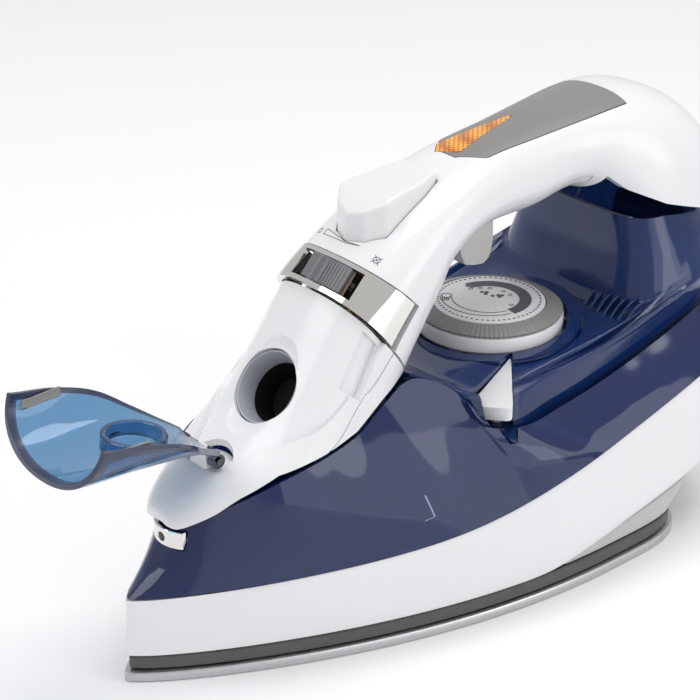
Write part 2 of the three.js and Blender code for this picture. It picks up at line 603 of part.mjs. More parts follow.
const springRoom = buttonWell - 2 - springFoot;

// ---------- cord swivel: a ball with a bored neck, turning about the cord's line ----------
const swivelCentre = at(0, 143, 129);
const swivelNeck = 5.4;
const swivelBore = 3.4;
const cordDir = v3(0, 0.86, 0.5).normalize();

// ---------- trigger and its pump ----------
const triggerPin = at(0, 29, 128.5);
const triggerHalf = 5.5;
const triggerSide = new THREE.Shape([[26, 131.5], [32, 131.5], [50, 132.5], [50.5, 119], [48.5, 111.5],
  [46, 110], [37, 112], [34, 120.5], [27.5, 125]].map(([y, z]) => new THREE.Vector2(y * sy, z * sz)));
const acrossX = (shape, half) => {
  const solid = new THREE.ExtrudeGeometry(shape, { depth: 2 * half, bevelEnabled: false }).translate(0, 0,
    -half);
  solid.applyMatrix4(new THREE.Matrix4().makeBasis(v3(0, 1, 0), v3(0, 0, 1), v3(1, 0, 0)));
  return toSolid(solid);
};
const trigger = acrossX(triggerSide, triggerHalf)
  .subtract(rod(hingePinRadius + gap, 40, v3(-20, triggerPin.y, triggerPin.z), v3(1, 0, 0), 12));
const triggerRoom = box(-triggerHalf - 0.6, 23 * sy, 100 * sz, triggerHalf + 0.6, 53.5 * sy, 137.6 * sz);
handle = handle.subtract(triggerRoom)
  .subtract(toSolid(new THREE.SphereGeometry(swivelRadius + 0.7, 12, 8).translate(swivelCentre.x,
    swivelCentre.y, swivelCentre.z)))
  .subtract(rod(swivelNeck + 0.6, 40, swivelCentre, cordDir, 14));
const pinLength = 2 * triggerHalf + 8;
const pinLine = (radius, length) => rod(radius, length, v3(-length / 2, triggerPin.y, triggerPin.z),
  v3(1, 0, 0), 12);
gripShell = gripShell.subtract(triggerRoom).subtract(pinLine(hingePinRadius + gap, pinLength + 2 * gap));
const steamPumpPlace = at(0, 47, 142);
const steamPump = pipe(3.4, 4.8, 9.6, steamPumpPlace, v3(0, 0, 1), 14);
const steamPiston = rod(3.05, 11.6, v3(0, steamPumpPlace.y, steamPumpPlace.z - 8.6), v3(0, 0, 1), 12);

// ---------- chrome band, slider and dosing rod ----------
const bandLength = bandFront.distanceTo(whitePoint(bandEnd, 0));
const sliderRadius = 24;
const slotInner = sliderRadius - 6;
const sliderAxis = arm(0, bandLength / 2, -sliderRadius - 0.8);
const sliderTwist = 8; // the slider rests a little to one side
// A wedge of a ring about the slider's axis, between two angles from the front.
function arcPiece(r0, r1, length, a0, a1) {
  const shape = new THREE.Shape();
  const from = rad(a0 - 90);
  const to = rad(a1 - 90);
  shape.absarc(0, 0, r1, from, to, false);
  shape.absarc(0, 0, r0, to, from, true);
  const solid = new THREE.ExtrudeGeometry(shape, { depth: length, bevelEnabled: false, curveSegments: 6 });
  solid.translate(0, 0, -length / 2);
  solid.applyMatrix4(new THREE.Matrix4().makeBasis(v3(1, 0, 0), armOut.clone().negate(), armDir));
  solid.translate(sliderAxis.x, sliderAxis.y, sliderAxis.z);
  return toSolid(solid);
}
const slotLength = bandLength * 0.72;
const bandShell = sheet(whiteRows(bandStart + 0.02, bandEnd - 0.02, 2, 92, 16), false, -0.4, bandWall);
add('chrome_band', bandShell.subtract(arcPiece(slotInner, sliderRadius + 12, slotLength, -slotHalfAngle,
  slotHalfAngle)),
  chrome);
const trackRadius = sliderRadius - 3.2;
add('slider_track', arcPiece(trackRadius - 1.4, trackRadius, slotLength - 0.6, -slotHalfAngle - 8,
  slotHalfAngle + 8)
  .subtract(arcPiece(trackRadius - 5, trackRadius + 3, 3.2, -sliderHalfAngle - 14,
    sliderHalfAngle + 14)), dark);
const knob = arcPiece(trackRadius + gap, sliderRadius + 2.2, slotLength - 0.8,
  sliderTwist - sliderHalfAngle, sliderTwist + sliderHalfAngle);
const leverAngle = rad(sliderTwist);
const leverDir = armOut.clone().multiplyScalar(Math.cos(leverAngle)).add(v3(Math.sin(leverAngle), 0, 0));
const lever = rod(1.1, trackRadius + 1, sliderAxis, leverDir, 8);
const hubHalf = 2.2;
const hub = rod(4, 2 * hubHalf, sliderAxis.clone().addScaledVector(armDir, -hubHalf), armDir, 14);
add('steam_slider', knob.add(lever).add(hub), grey);
const rodLength = 62 * sz;
const rodFoot = sliderAxis.clone().addScaledVector(armDir, -hubHalf - gap - rodLength);
add('dosing_rod', rod(1.8, rodLength, rodFoot, armDir, 10), brass);
const needleLength = 17;
const needleFoot = rodFoot.clone().addScaledVector(armDir, -needleLength - 3.4);
add('dosing_needle', turned([[0, 0], [0.5, 0], [1.5, 4], [1.5, needleLength], [0, needleLength]],
  needleFoot, armDir, 10), brass);
const seatFoot = needleFoot.clone().addScaledVector(armDir, -1);
add('valve_seat', pipe(1.9, 4.5, 6, seatFoot, armDir, 14), rubber);

// ---------- upper housing: deck around the dial and the rear column ----------
const housingRings = [
  [[0, -6, 76], [12, -6, 76], [21, -5, 76], [28, 2, 73], [37.5, 11, 66], [44.6, 25, 64.6], [43.6, 47, 65],
    [42.8, 67, 67.4],
    [42.2, 88, 71.4], [41.4, 102, 74.4], [38.6, 125, 79], [31, 142, 82], [15, 146.4, 83], [0, 147, 83]],
  [[0, -6, 89.6], [12, -6, 89.6], [21.5, -4, 89], [29, 4, 85.5], [36.5, 11.5, 81.2], [40.5, 27, 79.9],
    [41.8, 50, 81.3], [42.6, 70, 83.6], [43.2, 86, 86.6], [43.6, 101, 90.5], [41.6, 125, 94.5], [33.5, 142,
      96.5],
    [16, 146.8, 97], [0, 147.4, 97]],
  [[0, 8, 83], [11, 8, 83], [20, 9, 82.6], [26.5, 13.5, 81], [32.5, 19.5, 79.6], [36.5, 31, 79],
    [37.4, 50, 79.2],
    [37.6, 68, 79.9], [38, 82, 81.6], [40.5, 98, 88], [40.9, 125, 97], [33, 141.6, 99], [16, 146.4, 99.6],
    [0, 147, 99.6]],
  [[0, 93, 83.5], [10, 93, 83.5], [19, 93.2, 83.6], [26, 94, 84], [31, 95.3, 84.8], [35, 97.5, 86.5],
    [37.6, 100, 88.6], [39, 103.5, 91], [39.6, 108, 93.5], [40, 114, 96.3], [39.8, 124, 99], [33, 141, 101.5],
    [16, 146.2, 102.5], [0, 146.8, 102.5]],
  [[0, 98, 104], [9.5, 98, 104], [18, 98.2, 104], [24.5, 99, 104.2], [29, 100.3, 104.5], [32.3, 102.3, 105],
    [34.4, 105, 105.5], [35.6, 108, 106], [36.4, 112, 106.5], [36.8, 118, 107], [36.4, 127, 108], [30.5,
      140.5, 108.5],
    [15, 145.6, 109], [0, 146.4, 109]],
  [[0, 100, 118], [8, 100, 118], [15, 100.2, 118], [20, 101, 118], [24.5, 102.3, 118], [27.5, 104.3, 118],
    [29.5, 107, 118], [30.6, 110, 118], [31.2, 113, 118], [31.6, 119, 117], [31, 127, 116], [26.5, 138.5,
      114],
    [13, 143.4, 113], [0, 144, 113]],
].map((ring) => wholeRing(smooth(ring.map((p) => at(...p)), 1)));
let housing = sheet(housingRings, true, 0, wall);
const collarRoom = dialRadius + 7.2;

const dialCentre = at(0, 55, 81.2);
const shaftClearance = shaftRadius + 1;
housing = housing.subtract(rod(collarRoom, 9, v3(0, dialCentre.y, dialCentre.z - 0.25), v3(0, 0, 1), 36))
  .subtract(rod(shaftClearance, 20, v3(0, dialCentre.y, dialCentre.z - 10), v3(0, 0, 1), 16));

// The self-clean button is a rounded triangle on the deck's front corner.
const cleanCorners = [at(25.5, 41.3, 0), at(33.5, 13, 0), at(47.6, 20.5, 0)];
const cleanMiddle = cleanCorners.reduce((sum, p) => sum.add(p), v3(0, 0, 0)).divideScalar(3);
const cleanOutline = (grow) => cleanCorners.map((p) => {
  const out = p.clone().sub(cleanMiddle).normalize().multiplyScalar(grow * 2);
  return new THREE.Vector2(p.x + out.x, p.y + out.y);
});
const cleanThick = 5;
const cleanLow = at(0, 0, 76).z; // top of the button at its lower, front edge
const cleanSlope = 0.24;
const cleanUnder = (lift) => {
  const height = (y) => (cleanLow + lift) / sz + cleanSlope * (y - 17);
  return prismAcross([[-20, -50], [-20, height(-20)], [80, height(80)], [80, -50]], 120);
};
const cleanFloor = cleanLow - cleanThick - cleanTravel - 1;
const cleanRod = 2.4;
const cleanBore = rod(cleanRod + 0.4, 60, v3(cleanMiddle.x, cleanMiddle.y, cleanFloor - 30), v3(0, 0, 1), 12);
housing = housing.subtract(slab(cleanOutline(0.5), cleanFloor, cleanFloor + 40)).subtract(cleanBore)
  .subtract(slab(cleanOutline(2.3), cleanFloor - 1.9, cleanFloor + 0.05));
const cleanNiche = slab(cleanOutline(2), cleanFloor - 1.5, cleanFloor - gap).subtract(cleanBore);
const cleanHead = slab(cleanOutline(0), 0, 200).intersect(cleanUnder(0)).subtract(cleanUnder(-cleanThick));
const cleanStem = rod(cleanRod, cleanThick + 14, v3(cleanMiddle.x, cleanMiddle.y, cleanLow - cleanThick - 12),
  v3(0, 0, 1), 12).intersect(cleanUnder(-1));
const cleanSpringHeight = 3.6;
const tankCut = slab(cleanOutline(2.6), cleanFloor - 2, cleanFloor + 40);
const plateRadius = 12.6;
const plateHalf = 8;
const plateCentre = at(0, -82.8, 47.2);
const plateHeight = 6.4;
const plateRoom = box(-plateHalf - gap, -300, plateCentre.z - gap, plateHalf + gap, plateCentre.y,
  plateCentre.z + plateHeight + gap)
  .subtract(rod(plateRadius - 1 - gap, 80, v3(0, plateCentre.y, plateCentre.z - 20), v3(0, 0, 1), 28));
add('tank_shell', tankWall.subtract(tankCut).subtract(plateRoom), blue);
add('tank_floor', tankFloor, blue);
add('filler_panel', panel, white);
add('handle_shell', handle, white);
add('grip_shell', gripShell, white);
add('grip_insert', insert, grey);
add('indicator_lens', lens, amber);
add('indicator_lamp', lamp, amber);
add('upper_housing', housing, blue);
add('clean_niche', cleanNiche, blue);
add('spray_button', buttonShell.add(stem), white);
add('spray_pump', pumpBody, paleGrey);
add('spray_spring', coil(pistonRadius + 1, springWire, 3, springRoom - 2,
  v3(0, pumpPlace.y, springFoot + 1), v3(0, 0, 1)), steel);
add('steam_trigger', trigger, grey);
add('trigger_pin', pinLine(hingePinRadius, pinLength), steel);
add('steam_pump', steamPump, paleGrey);
add('steam_piston', steamPiston, dark);
add('trigger_spring', coil(4, springWire, 4, 7.4, v3(0, steamPumpPlace.y, steamPumpPlace.z - 8),
  v3(0, 0, 1)), steel);
add('clean_spring', coil(3.9, springWire, 2, cleanSpringHeight, v3(cleanMiddle.x, cleanMiddle.y,
  cleanFloor + 0.5),
  v3(0, 0, 1)), steel);
add('self_clean_button', cleanHead.add(cleanStem), white);

// ---------- filler door ----------
add('fill_door', opened(door), lightBlue);
add('door_grip_left', opened(doorRib(-1, 0, ribDepth, ribDepth + 1)), grey);
add('door_grip_right', opened(doorRib(1, 0, ribDepth, ribDepth + 1)), grey);
add('hinge_pin', hingeLine(hingePinRadius, 2 * knuckleHalf + 1), dark);
add('filler_seal', sealRing, rubber);

// ---------- dial, its shaft and the thermostat ----------
const dialBase = dialCentre.z + gap;
const dialTop = dialBase + dialHeight - 0.5;
const shaftTop = dialTop - 1.6;
const dialAt = (z) => v3(0, dialCentre.y, z);
add('dial_knob', turned([[shaftRadius + gap, 0], [dialRadius - 1.4, 0], [dialRadius, 1.2],
  [dialRadius, dialHeight - 0.5],
  [0, dialHeight - 0.5], [0, dialHeight - 2], [shaftRadius + gap, dialHeight - 2], [shaftRadius + gap, 0]],
dialAt(dialBase), v3(0, 0, 1), 28), white);
add('dial_ring', turned([[faceRadius + gap, 0], [dialRadius - 0.2, 0], [dialRadius - 0.2, 0.5],
  [faceRadius + gap, 2.9], [faceRadius + gap, 0]], dialAt(dialTop + gap), v3(0, 0, 1), 28), grey);
add('dial_face', turned([[0, 0], [faceRadius, 0], [faceRadius, 2.6], [faceRadius - 0.8, 3.2], [0, 3.2]],
  dialAt(dialTop + gap), v3(0, 0, 1), 24), white);
const thermostatBase = coverTop + gap;
const thermostatHeight = 11;
const bushTop = thermostatBase + thermostatHeight + 5;
const shaftBore = rod(shaftRadius + 0.4, 40, dialAt(thermostatBase + 4), v3(0, 0, 1), 14);
add('thermostat_body', box(-11, dialCentre.y - 11, thermostatBase, 11, dialCentre.y + 11,
  thermostatBase + thermostatHeight)
  .subtract(box(-20, dialCentre.y - 20, thermostatBase - 1, 20, dialCentre.y - 6.4, thermostatBase + 3))
  .add(rod(shaftRadius + 2.6, bushTop - thermostatBase - 4, dialAt(thermostatBase + 4), v3(0, 0, 1), 14))
  .subtract(shaftBore), paleGrey);
add('thermostat_shaft', rod(shaftRadius, shaftTop - thermostatBase - 5, dialAt(thermostatBase + 4.6),
  v3(0, 0, 1), 14), brass);
const collarInner = dialRadius + 1.8;
const collarOuter = collarInner + 5;
add('dial_collar', pipe(collarInner, collarOuter, 20, dialCentre.clone().setZ(dialCentre.z + 0.1),
  v3(0, 0, 1), 30)
  .intersect(prismAcross([[0, 60], [0, 82.2], [24, 82.6], [60, 84], [78, 86], [120, 92], [120, 60]], 100))
  .subtract(slab(cleanOutline(0.8), 60, 200)), blue);

// ---------- spray nozzle, tubes, fuse and terminals ----------
add('nozzle_plate', pipe(plateRadius - 1, plateRadius, plateHeight, plateCentre, v3(0, 0, 1), 28)
  .intersect(box(-plateHalf, -300, 0, plateHalf, plateCentre.y, 300))
  .subtract(rod(1.7, 40, v3(0, plateCentre.y, plateCentre.z + 3), v3(0, -1, 0), 12)), chrome);
add('spray_nozzle', turned([[0, 0], [1.35, 0], [1.35, 1.6], [0.6, 2.2], [0, 2.2]],
  v3(0, plateCentre.y - plateRadius + 1.5, plateCentre.z + 3), v3(0, -1, 0), 10), dark);
const tubeRadius = 1.6;
add('spray_tube', hose(tubeRadius, [at(0, 2, 115.4), at(-7, 3, 112), at(-13, -4, 101), at(-13.5, -26, 76),
  at(-12.5, -58, 52),
  at(-7, -80, 49.5), at(0, -88, 50.2)], 12), paleGrey);
add('steam_tube', hose(tubeRadius, [at(7, 41, 146), at(10, 34, 142), at(13.5, 20, 136), at(14, 4, 120),
  at(14, -8, 102),
  at(14, -28, 78), at(12.5, -40, 56), at(11, -44, 38)], 12), paleGrey);
const fusePlace = at(-19, -34, 0);
add('thermal_fuse', rod(2, 14, v3(fusePlace.x, fusePlace.y, coverTop + gap + 2.1), v3(0, 1, 0), 10),
  paleGrey);
add('terminal_block', box(-16, 112 * sy, 48 * sz, 16, 124 * sy, 60 * sz)
  .subtract(rod(2, 30, v3(-9, 110 * sy, 54 * sz), v3(0, 1, 0), 8))
  .subtract(rod(2, 30, v3(0, 110 * sy, 54 * sz), v3(0, 1, 0), 8))
  .subtract(rod(2, 30, v3(9, 110 * sy, 54 * sz), v3(0, 1, 0), 8)), paleGrey);

// ---------- heel: cover plate, its screws and the cord swivel ----------
const heelY = 151.6 * sy;
const heelPlate = new THREE.Shape();
const heelHalf = 35;
const heelLow = 40;
const heelHigh = 104;
const heelCorner = 10;
heelPlate.moveTo(-heelHalf * sx + heelCorner, heelLow * sz);
heelPlate.lineTo(heelHalf * sx - heelCorner, heelLow * sz);
heelPlate.quadraticCurveTo(heelHalf * sx, heelLow * sz, heelHalf * sx, heelLow * sz + heelCorner);
heelPlate.lineTo(0.8 * heelHalf * sx, heelHigh * sz - heelCorner);
heelPlate.quadraticCurveTo(0.8 * heelHalf * sx, heelHigh * sz, 0.8 * heelHalf * sx - heelCorner,
  heelHigh * sz);
heelPlate.lineTo(-0.8 * heelHalf * sx + heelCorner, heelHigh * sz);
heelPlate.quadraticCurveTo(-0.8 * heelHalf * sx, heelHigh * sz, -0.8 * heelHalf * sx,
  heelHigh * sz - heelCorner);
heelPlate.lineTo(-heelHalf * sx, heelLow * sz + heelCorner);
heelPlate.quadraticCurveTo(-heelHalf * sx, heelLow * sz, -heelHalf * sx + heelCorner, heelLow * sz);
const heelThick = 2.4;
const plateSolid = toSolid(new THREE.ExtrudeGeometry(heelPlate, { depth: heelThick, bevelEnabled: false,
  curveSegments: 4 })
  .rotateX(Math.PI / 2).translate(0, heelThick, 0).translate(0, heelY, 0));
const heelScrews = [v3(-20 * sx, heelY, 86 * sz), v3(20 * sx, heelY, 86 * sz), v3(0, heelY, 52 * sz)];
let rearCover = plateSolid;
for (const p of heelScrews) {
  rearCover = rearCover.subtract(rod(screwRadius + gap, 12, v3(p.x, p.y - 6, p.z), v3(0, 1, 0), 10))
    .subtract(rod(2 * screwRadius + gap, 4, v3(p.x, p.y + 1.2, p.z), v3(0, 1, 0), 10));
}
add('rear_cover', rearCover, dark);
heelScrews.forEach((p, i) => {
  const length = 3;
  add(`rear_screw_${i + 1}`, turned([[0, 0], [screwRadius, 0], [screwRadius, length - 1.3],
    [2 * screwRadius, length - 1.3],
    [2 * screwRadius, length - 0.6], [0, length - 0.6]], v3(p.x, p.y - 0.2, p.z), v3(0, 1, 0), 10), steel);
});
const ball = toSolid(new THREE.SphereGeometry(swivelRadius, 14, 8).translate(swivelCentre.x, swivelCentre.y,
  swivelCentre.z));
add('cord_swivel', ball.add(rod(swivelNeck, 9.4, swivelCentre, cordDir, 14))
  .subtract(rod(swivelBore, 30, swivelCentre.clone().addScaledVector(cordDir, -14), cordDir, 12)), dark);

export default iron;
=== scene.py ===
# A steam iron with its filler door open: fine surfaces, materials, studio and camera.
# Lengths are in millimetres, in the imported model's own frame, and are divided by 1000 as meshes are made.
import math

import bpy
import numpy as np
from mathutils import Matrix, Vector


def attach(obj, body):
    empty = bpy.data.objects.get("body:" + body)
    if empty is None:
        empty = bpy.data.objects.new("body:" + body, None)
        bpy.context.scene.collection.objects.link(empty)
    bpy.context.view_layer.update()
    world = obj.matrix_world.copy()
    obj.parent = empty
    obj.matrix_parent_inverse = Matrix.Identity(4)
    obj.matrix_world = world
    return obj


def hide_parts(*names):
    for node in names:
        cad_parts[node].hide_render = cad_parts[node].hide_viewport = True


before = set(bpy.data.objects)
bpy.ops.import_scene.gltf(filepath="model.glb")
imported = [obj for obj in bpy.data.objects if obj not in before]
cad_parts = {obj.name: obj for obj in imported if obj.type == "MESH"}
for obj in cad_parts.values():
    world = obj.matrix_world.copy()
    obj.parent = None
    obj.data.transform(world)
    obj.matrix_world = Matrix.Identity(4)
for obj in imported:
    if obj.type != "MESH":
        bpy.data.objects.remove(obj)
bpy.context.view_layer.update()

# ---------- sizes shared with the solids ----------
GAP = 0.35
WALL = 2.2
SOLE_THICK = 4.0
SHIELD_LOW = SOLE_THICK + GAP
SHIELD_TOP = SHIELD_LOW + 5.2
# Plan outlines: nose, heel, half width.
SOLE_PLAN = (-113, 113, 59.3)
CORE_PLAN = (-94.04, 97.2, 47.2)
SKIRT_FOOT = (-111.6, 146, 58.6)
SKIRT_TOP = (-110.8, 150, 61)
HEEL_FOOT = (-110, 114.5, 56.8)
HEEL_TOP = (-110, 141, 55.3)
NOSE_POWER = 0.8
VENT_RADIUS = 1.5
UP = (0, 0, 1)
ACROSS = (1, 0, 0)
FAR = 300  # past everything, for cutting shapes
WIDEST_Y = 61.0
HEEL_POWER = 4.5
DIAL_Y = 55
DIAL_LOW = 81.55
DIAL_THICK = 6.5
FACE_RADIUS = 20.6
FACE_THICK = 3.1
DIAL_RADIUS = 27.2
FILL_RADIUS = 12.5
HINGE = np.array([0, -76.8, 75.1])
HINGE_ROOM = 10.4  # radius of the recess round the hinge
DOOR_ANGLE = 122
DOOR_FROM = 4.4
BAND_START = 9
BAND_END = 10
# Stations of the white body: front or top (y, z), rear or under (y, z), half width, widest place, squareness.
STATIONS = np.array([
    [-96.2, 57, -95, 53.5, 4, 0.5, 2.2, 2.2], [-96, 61, -92, 48, 9, 0.5, 2.2, 2.2],
    [-91, 65.6, -82, 44, 15, 0.5, 2.2, 2.2], [-83.5, 69.6, -70, 46, 20, 0.5, 2.2, 2.2],
    [-76, 73.6, -58, 50, 24.5, 0.5, 2.2, 2.2], [-68, 78, -46, 54, 27.3, 0.48, 2.2, 2.4],
    [-61, 83.2, -32, 58, 28.3, 0.46, 2.2, 2.6], [-54.5, 91, -20, 61, 28.4, 0.45, 2.2, 2.8],
    [-44.5, 104.2, -10, 72, 27.5, 0.43, 2.2, 3], [-31.2, 122.4, -2.9, 86.2, 26.3, 0.43, 2.2, 3],
    [-19.6, 130.8, 8.3, 103.2, 25.3, 0.44, 2.2, 3], [-9, 137.5, 15.5, 112.5, 24.3, 0.46, 2.2, 2.8],
    [3, 143.8, 20.5, 120, 23, 0.48, 2.2, 2.6], [18.5, 149.8, 30, 125.4, 21.5, 0.5, 2.3, 2.4],
    [38, 154.8, 42, 127, 20, 0.5, 2.4, 2.2], [60, 157.8, 62, 127, 19.5, 0.5, 2.4, 2.2],
    [83, 160.3, 82, 130, 21, 0.5, 2.4, 2.2], [103, 161.3, 92, 126, 27, 0.58, 2.4, 2.6],
    [120, 160.5, 99, 116, 32.5, 0.62, 2.4, 3], [135, 154.5, 104, 104, 36, 0.6, 2.4, 3],
    [146, 143, 108, 96, 37.5, 0.55, 2.4, 3], [150.5, 128, 112, 88, 38, 0.5, 2.4, 3],
    [151, 110, 116, 80, 38, 0.5, 2.4, 3],
])
LAST = len(STATIONS) - 1
# The white body ends below along this line (y, z).
LOWER_EDGE = [
    (-120, 55), (-99, 55.2), (-95, 56.2), (-89.5, 59), (-84, 61.6), (-77, 65.7), (-64, 71.8), (-46.5, 75.6),
    (-33.5, 79.2), (-21.5, 86.4), (-12, 90.3), (-4, 91.8), (12, 91.8), (60, 95), (84, 120), (90, 137), (97,
        131),
    (110, 124.5), (128, 119), (170, 110),
]
# Tank: y on the skirt's top edge, then the point of the rim above it.
TANK_PAIRS = [
    (-110.5, (0, -92.5, 53.4)), (-106, (8.4, -88, 57)), (-80, (19, -77, 64.2)), (-62, (26, -64, 70.4)),
    (-44, (28.2, -46.5, 74.2)), (-25, (28.2, -33, 77.8)), (-9, (27.6, -21, 85)), (4, (27.2, -8, 90)),
    (17, (34, 5, 84)), (28, (43, 10, 72.5)), (39, (48.5, 24, 69)), (54, (47, 47, 69.3)), (72, (46, 67,
        71.5)),
    (92, (45.3, 88, 75.6)), (115, (44, 108, 80)), (134, (41.5, 128, 84.3)),
]
HOUSING_RINGS = [
    [(0, -6, 76), (12, -6, 76), (21, -5, 76), (28, 2, 73), (37.5, 11, 66), (44.6, 25, 64.6), (43.6, 47, 65),
     (42.8, 67, 67.4), (42.2, 88, 71.4), (41.4, 102, 74.4), (38.6, 125, 79), (31, 142, 82), (15, 146.4,
         83), (0, 147, 83)],
    [(0, -6, 89.6), (12, -6, 89.6), (21.5, -4, 89), (29, 4, 85.5), (36.5, 11.5, 81.2), (40.5, 27, 79.9),
     (41.8, 50, 81.3), (42.6, 70, 83.6), (43.2, 86, 86.6), (43.6, 101, 90.5), (41.6, 125, 94.5), (33.5,
         142, 96.5),
     (16, 146.8, 97), (0, 147.4, 97)],
    [(0, 8, 83), (11, 8, 83), (20, 9, 82.6), (26.5, 13.5, 81), (32.5, 19.5, 79.6), (36.5, 31, 79), (37.4,
        50, 79.2),
     (37.6, 68, 79.9), (38, 82, 81.6), (40.5, 98, 88), (40.9, 125, 97), (33, 141.6, 99), (16, 146.4, 99.6),
     (0, 147, 99.6)],
    [(0, 93, 83.5), (10, 93, 83.5), (19, 93.2, 83.6), (26, 94, 84), (31, 95.3, 84.8), (35, 97.5, 86.5),
     (37.6, 100, 88.6), (39, 103.5, 91), (39.6, 108, 93.5), (40, 114, 96.3), (39.8, 124, 99), (33, 141,
         101.5),
     (16, 146.2, 102.5), (0, 146.8, 102.5)],
    [(0, 98, 104), (9.5, 98, 104), (18, 98.2, 104), (24.5, 99, 104.2), (29, 100.3, 104.5), (32.3, 102.3,
        105),
     (34.4, 105, 105.5), (35.6, 108, 106), (36.4, 112, 106.5), (36.8, 118, 107), (36.4, 127, 108),
     (30.5, 140.5, 108.5), (15, 145.6, 109), (0, 146.4, 109)],
    [(0, 100, 118), (8, 100, 118), (15, 100.2, 118), (20, 101, 118), (24.5, 102.3, 118), (27.5, 104.3, 118),
     (29.5, 107, 118), (30.6, 110, 118), (31.2, 113, 118), (31.6, 119, 117), (31, 127, 116), (26.5, 138.5,
         114),
     (13, 143.4, 113), (0, 144, 113)],
]


# ---------- meshes ----------
def smoothstep(low, high, x):
    t = np.clip((x - low) / (high - low), 0, 1)
    return t * t * (3 - 2 * t)


def make(name, verts, faces, material, body="body", smooth=True, sharp=40):
    mesh = bpy.data.meshes.new(name)
    mesh.from_pydata((np.asarray(verts, float) / 1000).tolist(), [], [list(f) for f in faces])
    mesh.update()
    obj = bpy.data.objects.new(name, mesh)
    bpy.context.scene.collection.objects.link(obj)
    mesh.materials.append(material)
    if smooth:
        mesh.shade_smooth()
        mesh.set_sharp_from_angle(angle=math.radians(sharp))
    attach(obj, body)
    return obj


def grid_normals(p, closed=False):
    along = np.gradient(p, axis=0)
    if closed:
        across = (np.roll(p, -1, axis=1) - np.roll(p, 1, axis=1)) / 2
    else:
        across = np.gradient(p, axis=1)
    n = np.cross(across, along)
    length = np.linalg.norm(n, axis=2, keepdims=True)
    return n / np.maximum(length, 1e-9)


def sheet(p, thick, closed=False, normals=None):
    """Vertices and faces of a wall of even thickness under a grid of points."""
    m, n = p.shape[:2]
    normal = grid_normals(p, closed) if normals is None else normals
    verts = np.concatenate([p.reshape(-1, 3), (p - normal * thick).reshape(-1, 3)])
    cols = n if closed else n - 1
    faces = []

    def vid(layer, i, j):
        return layer * m * n + i * n + j % n

    for i in range(m - 1):
        for j in range(cols):
            faces.append((vid(0, i, j), vid(0, i, j + 1), vid(0, i + 1, j + 1), vid(0, i + 1, j)))
            faces.append((vid(1, i, j), vid(1, i + 1, j), vid(1, i + 1, j + 1), vid(1, i, j + 1)))
            if i == 0:
                faces.append((vid(0, i, j), vid(1, i, j), vid(1, i, j + 1), vid(0, i, j + 1)))
            if i == m - 2:
                faces.append((vid(0, i + 1, j), vid(0, i + 1, j + 1), vid(1, i + 1, j + 1), vid(1, i + 1,
                    j)))
            if j == 0 and not closed:
                faces.append((vid(0, i, j), vid(0, i + 1, j), vid(1, i + 1, j), vid(1, i, j)))
            if j == cols - 1 and not closed:
                faces.append((vid(0, i, j + 1), vid(1, i, j + 1), vid(1, i + 1, j + 1), vid(0, i + 1,
                    j + 1)))
    return verts, faces


def lathe(name, profile, origin, direction, material, body="body", sides=96, wave=None):
    """Turns radius and height pairs about a line. wave(angle, radius) may change the radius."""
    profile = np.array(profile, float)
    z = np.array(direction, float) / np.linalg.norm(direction)
    x = np.cross([0, 0, 1], z) if abs(z[2]) < 0.99 else np.array([1.0, 0, 0])
    x = x / np.linalg.norm(x)
    y = np.cross(z, x)
    angles = np.arange(sides) / sides * 2 * math.pi
    origin = np.array(origin, float)
    verts = []
    rows = []
    for r, h in profile:
        if r < 1e-6:
            rows.append([len(verts)] * sides)
            verts.append(origin + z * h)
            continue
        rows.append(list(range(len(verts), len(verts) + sides)))
        for a in angles:
            radius = r if wave is None else wave(a, r)
            verts.append(origin + x * radius * math.cos(a) + y * radius * math.sin(a) + z * h)
    if tuple(profile[0]) == tuple(profile[-1]):
        verts = verts[:rows[-1][0]]
        rows[-1] = rows[0]
    faces = []
    for low, high in zip(rows, rows[1:]):
        for j in range(sides):
            k = (j + 1) % sides
            corners = [low[j], low[k], high[k], high[j]]
            face = [c for i, c in enumerate(corners) if c != corners[i - 1]]
            if len(face) > 2:
                faces.append(face)
    return make(name, verts, faces, material, body, sharp=30)


def block(name, low, high, material, body="body", bevel=0.6):
    x0, y0, z0 = low
    x1, y1, z1 = high
    verts = [(x, y, z) for z in (z0, z1) for x, y in ((x0, y0), (x1, y0), (x1, y1), (x0, y1))]
    faces = [(3, 2, 1, 0), (4, 5, 6, 7), (0, 1, 5, 4), (1, 2, 6, 5), (2, 3, 7, 6), (3, 0, 4, 7)]
    obj = make(name, verts, faces, material, body)
    return rounded(obj, bevel)


def rounded(obj, width, segments=3, limit=30):
    mod = obj.modifiers.new("round", "BEVEL")
    mod.width = width / 1000
    mod.segments = segments
    mod.limit_method = "ANGLE"
    mod.angle_limit = math.radians(limit)
    mod.harden_normals = True
    return obj


def prism(name, outline, low, high, axis, material, body="body", bevel=0.6):
    """Extrudes a closed outline of pairs along axis 0 (x) or 2 (z) between two places."""
    area = sum(p[0] * q[1] - q[0] * p[1] for p, q in zip(outline, outline[1:] + outline[:1]))
    outline = outline if area > 0 else outline[::-1]
    ring = []
    for level in (low, high):
        for a, b in outline:
            ring.append((level, a, b) if axis == 0 else (a, b, level))
    n = len(outline)
    faces = [tuple(range(n))[::-1], tuple(range(n, 2 * n))]
    faces += [(i, (i + 1) % n, n + (i + 1) % n, n + i) for i in range(n)]
    obj = make(name, ring, faces, material, body)
    return rounded(obj, bevel) if bevel else obj


